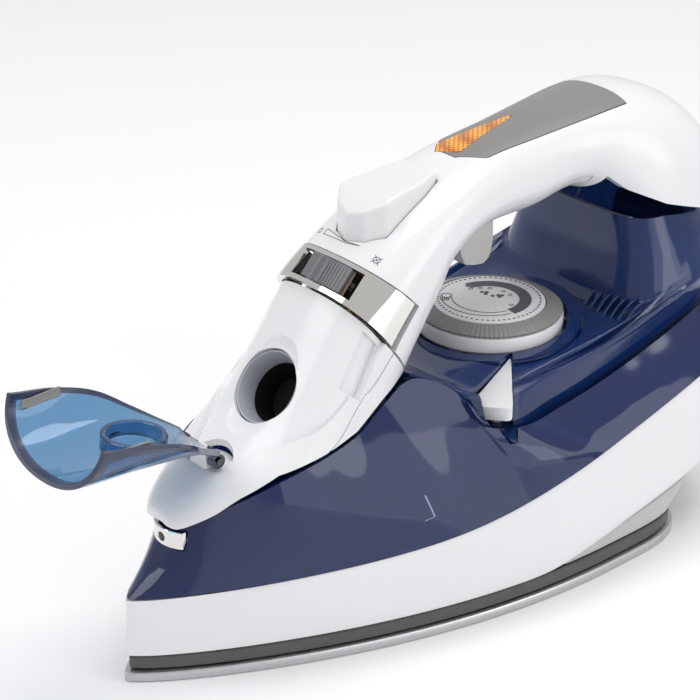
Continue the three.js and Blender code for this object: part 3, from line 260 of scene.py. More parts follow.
def cut(obj, tool, mode="DIFFERENCE"):
    mod = obj.modifiers.new("cut", "BOOLEAN")
    mod.object = tool
    mod.operation = mode
    mod.solver = "MANIFOLD"
    depsgraph = bpy.context.evaluated_depsgraph_get()
    mesh = bpy.data.meshes.new_from_object(obj.evaluated_get(depsgraph))
    obj.modifiers.clear()
    obj.data = mesh
    mesh.shade_smooth()
    mesh.set_sharp_from_angle(angle=math.radians(32))
    bpy.data.objects.remove(tool, do_unlink=True)


# ---------- the white body's loft ----------
def station(k):
    """Rows of the station table at fractional places k, on a Catmull-Rom curve."""
    k = np.asarray(k, float)
    i = np.clip(np.floor(k).astype(int), 0, LAST - 1)
    t = (k - i)[..., None]

    def row(j):
        return STATIONS[np.clip(j, 0, LAST)]

    a, b, d, e = row(i - 1), row(i), row(i + 1), row(i + 2)
    squared = (2 * a - 5 * b + 4 * d - e) * t ** 2
    cubed = (3 * b - a - 3 * d + e) * t ** 3
    return 0.5 * (2 * b + (d - a) * t + squared + cubed)


def white(k, theta):
    """Points of the white body; theta is in degrees from the front or top."""
    k, theta = np.broadcast_arrays(np.asarray(k, float), np.asarray(theta, float))
    oy, oz, iy, iz, half, widest, outer, inner = np.moveaxis(station(k), -1, 0)
    c = np.cos(np.radians(theta))
    s = np.sin(np.radians(theta))
    power = 2 / np.where(c > 0, outer, inner)
    x = half * np.sign(s) * np.abs(s) ** power
    reach = np.abs(c) ** power
    t = np.where(c > 0, widest * (1 - reach), widest + (1 - widest) * reach)
    return np.stack([x, oy + (iy - oy) * t, oz + (iz - oz) * t], axis=-1)


def white_normal(k, theta):
    step = 0.02
    along = white(k + step, theta) - white(k - step, theta)
    across = white(k, theta + 1) - white(k, theta - 1)
    n = np.cross(across, along)
    return n / np.linalg.norm(n, axis=-1, keepdims=True)


def door_edge(k):
    u = (k - DOOR_FROM) / (BAND_START - DOOR_FROM)
    return 24 + 65 * (u - 0.05 * np.sin(2 * math.pi * u))


# ---------- the filler's line ----------
panel_dir = white(8, 0) - white(6, 0)
panel_dir = panel_dir / np.linalg.norm(panel_dir)
panel_out = np.array([0, -panel_dir[2], panel_dir[1]])
fill_centre = white(7.2, 0) - panel_out * 2.4
arm_dir = white(BAND_END, 0) - white(BAND_START - 1, 0)
arm_dir = arm_dir / np.linalg.norm(arm_dir)
arm_out = np.array([0, -arm_dir[2], arm_dir[1]])


# ---------- materials ----------
PLASTIC_IOR = 1.46


def rgb(text):
    """Linear colour of a six-digit sRGB code."""
    values = [int(text[i:i + 2], 16) / 255 for i in (0, 2, 4)]
    return tuple(v / 12.92 if v <= 0.04045 else ((v + 0.055) / 1.055) ** 2.4 for v in values) + (1.0,)


def put(node, **values):
    """Sets a node's inputs; an underscore stands for a space in an input's name."""
    for key, value in values.items():
        node.inputs[key.replace("_", " ")].default_value = value
    return node


def add(mat, kind, **values):
    return put(mat.node_tree.nodes.new("ShaderNode" + kind), **values)


def link(mat, source, output, target, entry):
    mat.node_tree.links.new(source.outputs[output], target.inputs[entry])


def shader(mat):
    return mat.node_tree.nodes["Principled BSDF"]


def noise(mat, scale, detail):
    """Noise in the piece's own space."""
    node = add(mat, "TexNoise", Scale=scale, Detail=detail)
    link(mat, add(mat, "TexCoord"), "Object", node, "Vector")
    return node


def raise_by(mat, source, output, strength, distance):
    """A bump in metres on the shader; the node comes back."""
    lift = add(mat, "Bump", Strength=strength, Distance=distance)
    link(mat, source, output, lift, "Height")
    link(mat, lift, "Normal", shader(mat), "Normal")
    return lift


def material(name, colour, rough, metal=0.0, coat=0.0, transmission=0.0, specular=0.5, grain=None,
             bump=None, second=None):
    """A principled material. grain is (noise scale, roughness swing); bump is (noise scale, strength, mm);
    second is another colour that slow noise mixes in."""
    mat = bpy.data.materials.new(name)
    mat.use_nodes = True
    bsdf = put(shader(mat), Base_Color=rgb(colour), Roughness=rough, Metallic=metal, Coat_Weight=coat,
               Coat_Roughness=0.03, Transmission_Weight=transmission, IOR=PLASTIC_IOR,
               Specular_IOR_Level=specular)
    if grain:
        spread = add(mat, "MapRange", From_Min=0.3, From_Max=0.7, To_Min=max(rough - grain[1], 0.01),
                     To_Max=rough + grain[1])
        link(mat, noise(mat, grain[0], 4), "Fac", spread, "Value")
        link(mat, spread, "Result", bsdf, "Roughness")
    if second:
        mix = add(mat, "Mix")
        mix.data_type = "RGBA"
        put(mix, A=rgb(colour), B=rgb(second[0]))
        link(mat, noise(mat, second[1], 2), "Fac", mix, "Factor")
        link(mat, mix, "Result", bsdf, "Base Color")
    if bump:
        raise_by(mat, noise(mat, bump[0], 3), "Fac", bump[1], bump[2] / 1000)
    return mat


WHITE = material("gloss_white", "e0e0e3", 0.2, coat=0.25, grain=(60, 0.05), second=("e5e5e8", 12),
    bump=(900, 0.02, 0.05))
WHITE_BUTTON = material("button_white", "e3e3e5", 0.28, coat=0.15, grain=(60, 0.05), second=("dddde0", 15))
NAVY = material("clear_navy", "1a336f", 0.06, coat=0.25, transmission=0.6, grain=(25, 0.03),
    second=("243a7c", 9))
DECK = material("deck_navy", "14306a", 0.1, coat=0.25, transmission=0.45, grain=(25, 0.04),
    second=("1c3d7c", 9))
DOOR = material("clear_blue", "6b9ac2", 0.03, coat=0.3, transmission=0.95, grain=(25, 0.02),
    second=("5f90bb", 14))
RIM = material("door_rim", "2f3a5c", 0.2, coat=0.3, transmission=0.35, grain=(90, 0.06), second=("454a63",
    20))
CHROME = material("chrome", "e6e4e0", 0.04, metal=1.0, grain=(80, 0.02), second=("dedcd8", 30))
GREY = material("grey_plastic", "7f7d7b", 0.36, grain=(160, 0.06), second=("868482", 40), bump=(2200, 0.12,
    0.06))
DARKER = material("dark_grey", "4a4948", 0.4, grain=(160, 0.06), second=("545352", 40), bump=(2200, 0.1,
    0.05))
PALE = material("pale_grey", "b4b5b7", 0.3, grain=(120, 0.06), second=("bcbdbf", 30), bump=(1500, 0.05,
    0.04))
SLATE = material("slate_grey", "66666a", 0.3, grain=(160, 0.06), second=("707074", 40), bump=(2000, 0.08,
    0.05))
BLACK = material("near_black", "0c0c0d", 0.6, specular=0.1, grain=(150, 0.08), second=("141415", 40),
    bump=(1800, 0.1, 0.05))
LIGHT = material("light_grey", "b4b3b1", 0.34, grain=(160, 0.06), second=("bbbab8", 40), bump=(2000, 0.08,
    0.05))
PRINT = material("print_dark", "4c4d52", 0.5, grain=(300, 0.05), second=("585960", 200))
PRINT_PALE = material("print_pale", "8c93b4", 0.4, grain=(300, 0.05), second=("9aa1bf", 200))
STEEL = material("plain_steel", "b9bbbd", 0.28, metal=1.0, grain=(200, 0.08), second=("a9abad", 60))
CAST = material("cast_aluminium", "a4a6a8", 0.5, metal=1.0, grain=(140, 0.1), second=("96989a", 50),
    bump=(700, 0.2, 0.1))
BRASS = material("brass", "b5964c", 0.3, metal=1.0, grain=(200, 0.06), second=("a88a44", 60))
RUBBER = material("seal_rubber", "8a8d90", 0.75, grain=(220, 0.08), second=("7e8184", 60), bump=(1500,
    0.15, 0.06))
# Grey that stands in for the shade on the white filler neck's wall: painted shade.
SHADED_NECK = material("neck_painted_shade", "9fa3ab", 0.3, grain=(120, 0.06), second=("a8acb4", 40))
STRIPE = material("cream_stripe", "cdb79b", 0.3, grain=(200, 0.05), second=("c4ad90", 60))


def brushed_steel():
    """Sole metal: fine lines along the iron's length."""
    mat = material("brushed_sole", "c4c5c7", 0.26, metal=1.0)
    stretch = add(mat, "Mapping", Scale=(500, 12, 900))
    lines = add(mat, "TexNoise", Scale=1, Detail=5)
    link(mat, add(mat, "TexCoord"), "Object", stretch, "Vector")
    link(mat, stretch, "Vector", lines, "Vector")
    swing = add(mat, "MapRange", To_Min=0.16, To_Max=0.42)
    link(mat, lines, "Fac", swing, "Value")
    link(mat, swing, "Result", shader(mat), "Roughness")
    raise_by(mat, lines, "Fac", 0.15, 0.00003)
    return mat


def amber_lens():
    """Amber plastic over a lattice of small prisms."""
    mat = material("amber_lens", "e8981f", 0.16, coat=0.5)
    turn = add(mat, "Mapping", Rotation=(0, 0, math.radians(45)))
    cells = add(mat, "TexVoronoi", Scale=620, Randomness=0)
    link(mat, add(mat, "TexCoord"), "Object", turn, "Vector")
    link(mat, turn, "Vector", cells, "Vector")
    ramp = add(mat, "ValToRGB")
    for stop, place, colour in zip(ramp.color_ramp.elements, (0.25, 0.62), ("ffb93c", "b45a06")):
        stop.position = place
        stop.color = rgb(colour)
    link(mat, cells, "Distance", ramp, "Fac")
    link(mat, ramp, "Color", shader(mat), "Base Color")
    raise_by(mat, cells, "Distance", 0.5, 0.0002).invert = True
    return mat


SOLE_METAL = brushed_steel()
AMBER = amber_lens()


# ---------- more shape helpers ----------
def offset(p, out, closed=False):
    return p + grid_normals(p, closed) * out


def wall(name, p, out, deep, closed=False, colour=WHITE, body="body"):
    """A wall under the grid p, from `out` above it to `deep` below it."""
    verts, faces = sheet(offset(p, out, closed), out + deep, closed)
    return make(name, verts, faces, colour, body, sharp=35)


def rows_of(k0, k1, count, edge, columns, turn=0.0):
    """White body points between two stations, edge degrees to each side of turn."""
    ks = np.linspace(k0, k1, count + 1)
    limit = edge(ks) if callable(edge) else np.full(ks.shape, float(edge))
    return white(ks[:, None], turn + limit[:, None] * np.linspace(-1, 1, columns + 1)[None, :])


def ring_rows(k0, k1, count):
    columns = 144
    ks = np.linspace(k0, k1, count + 1)
    return white(ks[:, None], np.arange(columns)[None, :] / columns * 360)


def rod(name, radius, length, origin, direction, colour=WHITE, body="body", sides=64, bevel=0.25):
    b = min(bevel, radius * 0.4, length * 0.3)
    profile = [(0, 0), (radius - b, 0), (radius, b), (radius, length - b), (radius - b, length), (0, length)]
    return lathe(name, profile, origin, direction, colour, body, sides)


def tube(name, inner, outer, length, origin, direction, colour, body="body", sides=96, bevel=0.3):
    b = min(bevel, (outer - inner) * 0.3)
    profile = [(inner, b), (inner + b, 0), (outer - b, 0), (outer, b), (outer, length - b), (outer - b,
        length),
               (inner + b, length), (inner, length - b), (inner, b)]
    return lathe(name, profile, origin, direction, colour, body, sides)


def smooth(points, per):
    """Centripetal Catmull-Rom curve through points, per steps to each stretch."""
    pts = np.array(points, float)
    ends = np.concatenate([[2 * pts[0] - pts[1]], pts, [2 * pts[-1] - pts[-2]]])
    out = []
    for i in range(len(pts) - 1):
        a, b, c, d = ends[i:i + 4]
        d0, d1, d2 = [max(np.linalg.norm(q - p), 1e-6) ** 0.5 for p, q in ((a, b), (b, c), (c, d))]
        t1 = ((b - a) / d0 - (c - a) / (d0 + d1) + (c - b) / d1) * d1
        t2 = ((c - b) / d1 - (d - b) / (d1 + d2) + (d - c) / d2) * d1
        for j in range(per):
            t = j / per
            cubed = (2 * b - 2 * c + t1 + t2) * t ** 3
            out.append(b + t1 * t + (-3 * b + 3 * c - 2 * t1 - t2) * t ** 2 + cubed)
    out.append(pts[-1])
    return np.array(out)


def whole_ring(half):
    half = np.asarray(half, float)
    return np.concatenate([half, half[1:-1][::-1] * [-1, 1, 1]])


def whole_strip(half):
    half = np.asarray(half, float)
    return np.concatenate([half[1:][::-1] * [-1, 1, 1], half])


def plan_half(nose, heel, half):
    """Half plan outline from nose to heel."""
    nose_steps = 70
    heel_steps = 48
    t = (np.arange(nose_steps + 1) / nose_steps) ** 1.35
    front = np.stack([half * np.sin(t * math.pi / 2) ** NOSE_POWER, nose + (WIDEST_Y - nose) * t, 0 * t],
        axis=1)
    a = np.arange(1, heel_steps + 1) / heel_steps * math.pi / 2
    rear = np.stack([half * np.abs(np.cos(a)) ** (2 / HEEL_POWER),
                     WIDEST_Y + (heel - WIDEST_Y) * np.sin(a) ** (2 / HEEL_POWER), 0 * a], axis=1)
    rear[-1, 0] = 0
    return np.concatenate([front, rear])


def half_width(y, nose, heel, half):
    if y <= WIDEST_Y:
        return half * math.sin(max(y - nose, 0) / (WIDEST_Y - nose) * math.pi / 2) ** NOSE_POWER
    return half * (1 - ((y - WIDEST_Y) / (heel - WIDEST_Y)) ** HEEL_POWER) ** (1 / HEEL_POWER)


def bend(y, corner, softness):
    return softness * np.log(1 + np.exp((np.asarray(y, float) - corner) / softness))


def tank_line(y):
    return 38 + 0.06 * np.asarray(y, float) + 0.21 * bend(y, 0, 12)


def skirt_line(y):
    return 10.2 + 0.21 * bend(y, 34, 3)


def slab(name, outline, z0, z1, colour, body="body", bevel=0.5):
    return prism(name, [tuple(q[:2]) for q in outline], z0, z1, 2, colour, body, bevel)


def well(outline, z0, z1, colour=WHITE):
    """An upright cutting shape with sharp edges. The faces that a cut leaves take its colour."""
    return slab("well", outline, z0, z1, colour, bevel=0)


def side_prism(name, outline, half, colour=WHITE, body="body"):
    return prism(name, outline, -half, half, 0, colour, body, 0)


def above_edge():
    """A cutting shape of everything over the white body's lower edge."""
    return side_prism("edge", LOWER_EDGE + [(170, 260), (-120, 260)], 80)


def turned_open(obj):
    """Turns a piece made in the door's closed place to where the open door stands."""
    a = math.radians(DOOR_ANGLE)
    for v in obj.data.vertices:
        y, z = v.co.y - HINGE[1] / 1000, v.co.z - HINGE[2] / 1000
        v.co.y = HINGE[1] / 1000 + y * math.cos(a) - z * math.sin(a)
        v.co.z = HINGE[2] / 1000 + y * math.sin(a) + z * math.cos(a)
    obj.data.update()


def fill_point(out):
    return fill_centre + panel_out * out


def ball(name, radius, centre):
    steps = 32
    angles = [math.pi * i / steps for i in range(steps + 1)]
    profile = [(max(radius * math.sin(a), 0.0), -radius * math.cos(a)) for a in angles]
    return lathe(name, profile, centre, UP, WHITE, sides=64)


# ---------- filler panel ----------
def door_rows(margin, extra=0.0, count=48, columns=48):
    return rows_of(DOOR_FROM - margin / 12, BAND_START - 0.03 + extra, count,
                   lambda k: door_edge(np.maximum(k, DOOR_FROM)) + margin * 2.2, columns)


def seam(k):
    return np.interp(k, [5.6, 6.47, 7.53, 8.22, 9.01], [80.5, 82.8, 85.4, 90.8, 96.6])


def seam_cutter(side):
    ks = np.linspace(5.9, 8.99, 40)
    middle = side * seam(ks)
    thetas = middle[:, None] + np.linspace(-0.55, 0.55, 3)[None, :]
    return wall("seam_cutter", white(ks[:, None], thetas), 2, 0.6)


def filler_panel():
    panel = wall("white_nose", ring_rows(0, BAND_START - 0.03, 110), 0, 4.2, True, WHITE)
    cut(panel, above_edge(), "INTERSECT")
    cut(panel, wall("recess", door_rows(GAP * 1.6, 0.2), 3, 2.1))
    for side in (-1, 1):
        cut(panel, seam_cutter(side))
        thetas = np.linspace(63, 87, 14) * side
        pocket = white(np.linspace(7.88, 8.87, 16)[:, None], (thetas if side > 0 else thetas[::-1])[None, :])
        cut(panel, wall("pocket", pocket, 2, 3.7))
    bowl = [(0, -0.8), (12.4, -0.7), (14.2, -0.3), (16, 0.7), (17.4, 2.6), (19, 7), (0, 7)]
    dish = lathe("dish", bowl, fill_centre, panel_out, WHITE)
    stretch_along(dish, fill_centre, panel_dir, 1.12)
    cut(panel, dish)
    cut(panel, rod("hole", FILL_RADIUS + 0.9, 40, fill_point(-22), panel_out))
    y, z = HINGE[1], HINGE[2]
    cut(panel, rod("room", HINGE_ROOM, 26, (0, y - 0.6, z - 3.6), UP))
    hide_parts("filler_panel")
    rim = [(FILL_RADIUS - 1.6, -9), (FILL_RADIUS - 1.6, -4), (FILL_RADIUS - 0.3, -0.2), (FILL_RADIUS, 0.5),
           (FILL_RADIUS + 0.5, 0.8), (FILL_RADIUS + 0.8, 0.4), (FILL_RADIUS + 0.8, -9), (FILL_RADIUS - 1.6,
               -9)]
    rim = [(r, h - 2.6) for r, h in rim]
    # The filler rim takes the grey of the neck's painted shade.
    lathe("filler_rim", rim, fill_centre, panel_out, SHADED_NECK)
    # The near-black funnel with its closed floor stands in for the dark opening into the tank: painted shade.
    funnel = [(10.8, -9), (8.6, -13), (8.4, -16), (0, -16.4), (0, -16.6), (8.8, -16.6), (9.2, -13.2),
        (11.2, -9),
              (10.6, -9)]
    lathe("filler_funnel", funnel, fill_centre, panel_out, BLACK)
    block("hinge_block", (-4.6, y - 2.8, z - 7), (4.6, y + 2.3, z + 2.4), WHITE, bevel=1.0)
    bed = HINGE_ROOM + 0.2
    back = [(bed * math.cos(a), y - 0.6 + bed * math.sin(a)) for a in np.radians(np.linspace(18, 162, 25))]
    front = [(-6, y - 2.4), (6, y - 2.4), (8.6, y + 1)]
    slab("hinge_bed", front + back + [(-8.6, y + 1)], z - 6.6, z - 3.7, WHITE, bevel=0)


def stretch_along(obj, centre, direction, factor):
    c = np.array(centre) / 1000
    d = np.array(direction)
    for v in obj.data.vertices:
        q = np.array(v.co) - c
        v.co = Vector(c + q + d * np.dot(q, d) * (factor - 1))
    obj.data.update()


filler_panel()


# ---------- filler door ----------
def filler_door():
    p = offset(door_rows(0, count=56, columns=56), 0.5)
    verts, faces = sheet(p, 2.0)
    glass = make("door_glass", verts, faces, DOOR, "door", sharp=40)
    glass.data.materials.append(RIM)
    m, n = p.shape[:2]
    border = 2
    for poly in glass.data.polygons:
        ids = [v % (m * n) for v in poly.vertices]
        rows = [v // n for v in ids]
        cols = [v % n for v in ids]
        edge = min(min(cols), n - 1 - max(cols)) < border or m - 1 - max(rows) < border or min(rows) < 1
        if edge:
            poly.material_index = 1
    turned_open(glass)
    rounded(glass, 0.35, 2, 50)
    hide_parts("fill_door")
    ring = tube("door_plug", FILL_RADIUS - 3.5, FILL_RADIUS - 1.5, 5.6, fill_point(-4), panel_out, DOOR,
        "door")
    turned_open(ring)
    for side, node in ((-1, "door_grip_left"), (1, "door_grip_right")):
        ks = np.linspace(8, 8.75, 16)
        thetas = np.linspace(70, 80, 12) * side
        if side < 0:
            thetas = thetas[::-1]
        rib = wall("latch_" + node[10:], white(ks[:, None], thetas[None, :]), -2.1, 3.1, colour=GREY,
            body="door")
        turned_open(rib)
        rounded(rib, 0.3, 2, 50)
        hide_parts(node)
    y, z = HINGE[1], HINGE[2]
    for side in (-1, 1):
        low, high = (4.95, 8.6) if side > 0 else (-8.6, -4.95)
        end = "right" if side > 0 else "left"
        turned_open(rod("door_knuckle_" + end, 2.6, 3.65, (low, y, z), ACROSS, RIM, "door"))
        turned_open(block("door_arm_" + end, (low, y, z - 1.6), (high, y + 5.8, z + 1.4), RIM, "door", 0.4))


filler_door()


# ---------- handle ----------
INSERT_FROM = 13.72
INSERT_TO = 17.2
INSERT_HALF = 15.5
INSERT_DEPTH = 1.6
INSERT_TIP = 11.6
GRIP_FROM = 11.7
GRIP_TO = 16.2
TRIGGER_ROOM = ((-6.1, 23, 100), (6.1, 53.5, 137.6))
TRIGGER_PIN = (29, 128.5)  # y, z
CORD_CENTRE = (0, 143, 129)
CORD_LINE = (0, 0.8645, 0.5026)


def insert_edge(k):
    half = INSERT_TIP + (INSERT_HALF - INSERT_TIP) * smoothstep(14, 17, k)
    full = np.degrees(np.arcsin(np.minimum(1, half / station(k)[..., 4]) ** 1.2))
    return full * np.minimum(1, 0.25 + (k - INSERT_FROM) * 2.1)


def insert_rows(margin):
    return rows_of(INSERT_FROM - margin / 16, INSERT_TO + margin / 20, 60,
                   lambda k: insert_edge(np.maximum(k, INSERT_FROM)) + margin * 4, 40)


def lens_outline(grow):
    """A slanted blunt front and a long taper to the rear, a little to the far side of the middle."""
    corners = [(-4.9, 31.2), (2.4, 34.9), (3.0, 36.4), (-2.4, 65.6), (-3.4, 66.6), (-4.2, 65.4), (-9.4,
        37.6), (-9.0, 36.0)]
    middle = np.array([-3.6, 44.0])
    out = []
    for c in corners:
        away = np.array(c) - middle
        out.append(tuple(np.array(c) + away / np.linalg.norm(away) * grow))
    return out


def button_outline(grow):
    right = [(7, -12 - grow), (12 + grow, -6.5 - grow), (12 + grow, -4), (10.5 + grow, 12), (8.5 + grow,
        19.5 + grow)]
    return [(0, -14.5 - grow)] + right + [(-x, y) for x, y in right[::-1]]


def handle():
    shell = wall("white_handle", ring_rows(BAND_START + 0.02, LAST, 150), 0, 3.2, True, WHITE)
    cut(shell, above_edge(), "INTERSECT")
    cut(shell, wall("window", rows_of(BAND_START - 0.3, BAND_END + 0.02, 12, 97, 60), 3, 8))
    cut(shell, wall("grip_window", rows_of(GRIP_FROM - 0.03, GRIP_TO + 0.03, 60, 63.2, 40, 180), 2, 7))
    cut(shell, wall("insert_window", insert_rows(GAP), 3, INSERT_DEPTH + GAP))
    room = well(button_outline(0.45), 60, FAR)
    cut(room, side_prism("keep", [(-40, 118), (30, 134), (60, FAR), (-40, FAR)], 60), "INTERSECT")
    cut(shell, room)
    cut(shell, block("trigger_room", *TRIGGER_ROOM, WHITE, bevel=0))
    cut(shell, ball("ball_room", 9.2, CORD_CENTRE))
    cut(shell, rod("neck_room", 6.0, 40, CORD_CENTRE, CORD_LINE))
    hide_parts("handle_shell")
    grip = wall("grip_under", rows_of(GRIP_FROM, GRIP_TO, 70, 62, 48, 180), 0, 2.6, colour=WHITE)
    cut(grip, block("trigger_room", *TRIGGER_ROOM, WHITE, bevel=0))
    cut(grip, rod("pin_room", 1.55, 20, (-10, *TRIGGER_PIN), ACROSS))
    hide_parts("grip_shell")
    insert = wall("grip_pad", insert_rows(0), 0.0, INSERT_DEPTH, colour=GREY)
    cut(insert, well(lens_outline(GAP), 100, FAR))
    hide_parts("grip_insert")
    cut(shell, well(lens_outline(GAP), 143, FAR))
    lens = wall("lamp_lens", rows_of(13.2, 15.6, 60, 40, 40), 0.0, INSERT_DEPTH, colour=AMBER)
    cut(lens, well(lens_outline(0), 100, FAR), "INTERSECT")
    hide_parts("indicator_lens")


handle()


def top_button():
    shell = slab("button_cap", button_outline(0), 100, 200, WHITE_BUTTON, "spray_key", bevel=0)
    top = [(-40, 100), (-40, 140), (-15, 143.6), (-12.5, 145.6), (-8, 148.3), (-4.5, 149.8), (0, 150.5),
        (8, 151.2), (20, 153), (60, 158), (60, 100)]
    foot = [(-40, 60), (-40, 128), (-15, 132), (0, 137), (22, 143.5), (60, 147), (60, 60)]
    cut(shell, side_prism("top", top, 60), "INTERSECT")
    cut(shell, side_prism("foot", foot, 60))
    rounded(shell, 1.3, 5, 24)
    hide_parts("spray_button")
    rod("button_stem", 3.75, 16, (0, 2, 123.5), UP, WHITE_BUTTON, "spray_key")


top_button()


def trigger():
    side = [(26, 131.5), (32, 131.5), (50, 132.5), (50.5, 119), (49.6, 114), (48.5, 111.5), (46, 110),
        (41.5, 110.6), (37, 112),
            (35, 116), (34, 120.5), (31, 123), (27.5, 125)]
    piece = side_prism("trigger_blade", side, 5.5, LIGHT, "trigger")
    cut(piece, rod("bore", 1.5, 40, (-20, *TRIGGER_PIN), ACROSS, GREY))
    rounded(piece, 1.1, 4, 40)
    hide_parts("steam_trigger")


trigger()


# ---------- chrome band and slider ----------
SLIDER_RADIUS = 24
SLIDER_TWIST = 8
SLOT_HALF = 38
KNOB_HALF = 20
band_front = white(BAND_START, 0)
band_length = float(np.linalg.norm(white(BAND_END, 0) - band_front))
slider_axis = band_front + arm_dir * (band_length / 2) - arm_out * (SLIDER_RADIUS + 0.8)


def slider_out(a):
    return arm_out * math.cos(a) + np.array(ACROSS) * math.sin(a)


def arc_piece(name, r0, r1, length, a0, a1, colour, body="body", bevel=0.0, steps=40, crown=None):
    """A wedge of a ring about the slider's line, between two angles from the front."""
    angles = np.radians(np.linspace(a0, a1, steps + 1))
    spans = (-length / 2, length / 2)
    verts = []
    for a in angles:
        out = slider_out(a)
        high = r1 if crown is None else crown(math.degrees(a))
        for r, s in ((r0, spans[0]), (high, spans[0]), (high, spans[1]), (r0, spans[1])):
            verts.append(slider_axis + out * r + arm_dir * s)
    faces = [(0, 1, 2, 3)]
    for i in range(steps):
        for j in range(4):
            k = (j + 1) % 4
            faces.append((4 * i + 4 + j, 4 * i + 4 + k, 4 * i + k, 4 * i + j))
    faces.append(tuple(4 * steps + j for j in (3, 2, 1, 0)))
    obj = make(name, verts, faces, colour, body, sharp=30)
    return rounded(obj, bevel) if bevel else obj


def chrome_band():
    band = wall("chrome_collar", rows_of(BAND_START + 0.02, BAND_END - 0.02, 14, 92, 110), 0.4, 1.8,
        colour=CHROME)
    slot_length = band_length * 0.72
    cut(band, arc_piece("slot", SLIDER_RADIUS - 6, SLIDER_RADIUS + 12, slot_length, -SLOT_HALF, SLOT_HALF,
        CHROME))
    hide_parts("chrome_band")
    inner = SLIDER_RADIUS - 3.2 + GAP
    low, high = SLIDER_TWIST - KNOB_HALF, SLIDER_TWIST + KNOB_HALF

    def thumb(a):
        return SLIDER_RADIUS + 2.2 - 1.6 * smoothstep(low + 10, low + 15, a) * (1 - smoothstep(low + 15,
            high, a)) - 0.4

    knob = arc_piece("slider_knob", inner, SLIDER_RADIUS + 2.0, slot_length - 0.9, low, high, SLATE,
        "slider", crown=thumb,
                     bevel=0.4)
    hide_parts("steam_slider")
    edge = SLOT_HALF - 1.0
    arc_piece("slot_stripe", SLIDER_RADIUS - 3.4, SLIDER_RADIUS - 2.4, slot_length - 1.2, edge - 11,
        edge - 7.5, STRIPE)
    for i in range(7):
        a = low + 17 + i * 3.1
        arc_piece(f"slider_rib_{i + 1}", SLIDER_RADIUS - 1, thumb(a) + 0.35, slot_length - 2.0, a, a + 1.3,
            SLATE, "slider",
                  bevel=0.15, steps=2)
    rod("slider_lever", 1.1, SLIDER_RADIUS - 2.2, slider_axis, slider_out(math.radians(SLIDER_TWIST)),
        GREY, "slider", 24)
    rod("slider_hub", 4, 4.4, slider_axis - arm_dir * 2.2, arm_dir, GREY, "slider", 40)


chrome_band()


# ---------- sole, shield and skirts ----------
def rings(name, levels, colour):
    """A closed solid from plan rings, one above another, capped at both ends."""
    levels = [np.asarray(level, float) for level in levels]
    n = len(levels[0])
    verts = np.concatenate(levels)
    faces = [tuple(range(n))[::-1]]
    for i in range(len(levels) - 1):
        for j in range(n):
            k = (j + 1) % n
            faces.append((i * n + j, i * n + k, (i + 1) * n + k, (i + 1) * n + j))
    faces.append(tuple(range((len(levels) - 1) * n, len(levels) * n)))
    return make(name, verts, faces, colour, sharp=35)


def plan_ring(by, z, plan=SOLE_PLAN):
    nose, heel, half = plan
    half_ring = plan_half(nose + 1.7 * by, heel - by, half - by)
    ring = whole_ring(half_ring)
    ring[:, 2] = z
    return ring[::-1]


def lower_parts():
    sole = rings("sole_plate", [plan_ring(0.9, 0), plan_ring(0.25, 0.35), plan_ring(0, 1.0), plan_ring(0,
        3.2),
                                plan_ring(0.3, 3.75), plan_ring(0.9, SOLE_THICK)], SOLE_METAL)
    nose, _, half = SOLE_PLAN
    for side in (-1, 1):
        for i in range(5):
            t = 0.16 + i * 0.15
            x = side * 0.78 * half * math.sin(t * math.pi / 2) ** NOSE_POWER
            y = nose + (WIDEST_Y - nose) * t
            cut(sole, rod("vent", VENT_RADIUS, 6, (x, y, -1), UP, SOLE_METAL, sides=24))
        cut(sole, rod("vent", VENT_RADIUS, 6, (side * 26, 86, -1), UP, SOLE_METAL, sides=24))
    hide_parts("soleplate")
    shield = rings("heat_band", [plan_ring(1.9, SHIELD_LOW), plan_ring(1.4, SHIELD_LOW + 0.55),
                                 plan_ring(1.4, SHIELD_TOP - 0.5), plan_ring(1.9, SHIELD_TOP)], DARKER)
    core = rings("core", [plan_ring(0, 0, CORE_PLAN), plan_ring(0, 40, CORE_PLAN)], DARKER)
    cut(shield, core)
    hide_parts("heat_shield")

    low = plan_half(*SKIRT_FOOT)
    high = plan_half(*SKIRT_TOP)
    low[:, 2] = skirt_line(low[:, 1])
    high[:, 2] = tank_line(high[:, 1])
    rows = []
    for t in np.concatenate([[0, 0.02], np.linspace(0.06, 0.94, 14), [0.98, 1]]):
        q = low + (high - low) * t
        swell = 1.2 * math.sin(math.pi * t)
        tuck = 0.5 * (1 - smoothstep(0, 0.05, t)) + 0.6 * smoothstep(0.95, 1, t)
        size = np.hypot(q[:, 0], 30)
        q[:, 0] += (swell - tuck) * q[:, 0] / size
        rows.append(whole_ring(q))
    skirt = wall("white_skirt", np.array(rows), 0, WALL, True, WHITE)
    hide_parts("skirt_shell")

    start = 64  # the first outline point of the heel skirt
    low = plan_half(*HEEL_FOOT)[start:]
    high = plan_half(*HEEL_TOP)[start:]
    low[:, 2] = SHIELD_TOP + 0.4
    high[:, 2] = skirt_line(high[:, 1]) + 2.4
    rows = []
    for t in np.linspace(0, 1, 25):
        q = low + (high - low) * t
        swell = 0.5 * math.sin(math.pi * t) - 0.9 * smoothstep(0.55, 0.6, t)
        q[:, 0] += swell * q[:, 0] / np.hypot(q[:, 0], 30)
        rows.append(np.concatenate([q, q[:-1][::-1] * [-1, 1, 1]]))
    heel = wall("heel_skirt_shell", np.array(rows), 0, 1.7, colour=PALE)
    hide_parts("heel_skirt")


lower_parts()


# ---------- water tank and deck ----------
PLATE_CENTRE = np.array([0, -82.8, 47.2])
PLATE_RADIUS = 12.6
PLATE_WALL = 1
PLATE_HALF = 8
PLATE_HEIGHT = 6.4
TANK_DIP = 4.4
TANK_SWELL = 2.2
CLEAN_CORNERS = [(25.5, 41.3), (33.5, 13), (47.6, 20.5)]
clean_middle = np.mean(CLEAN_CORNERS, axis=0)
CLEAN_LOW = 76
CLEAN_THICK = 5
CLEAN_FLOOR = CLEAN_LOW - CLEAN_THICK - 4


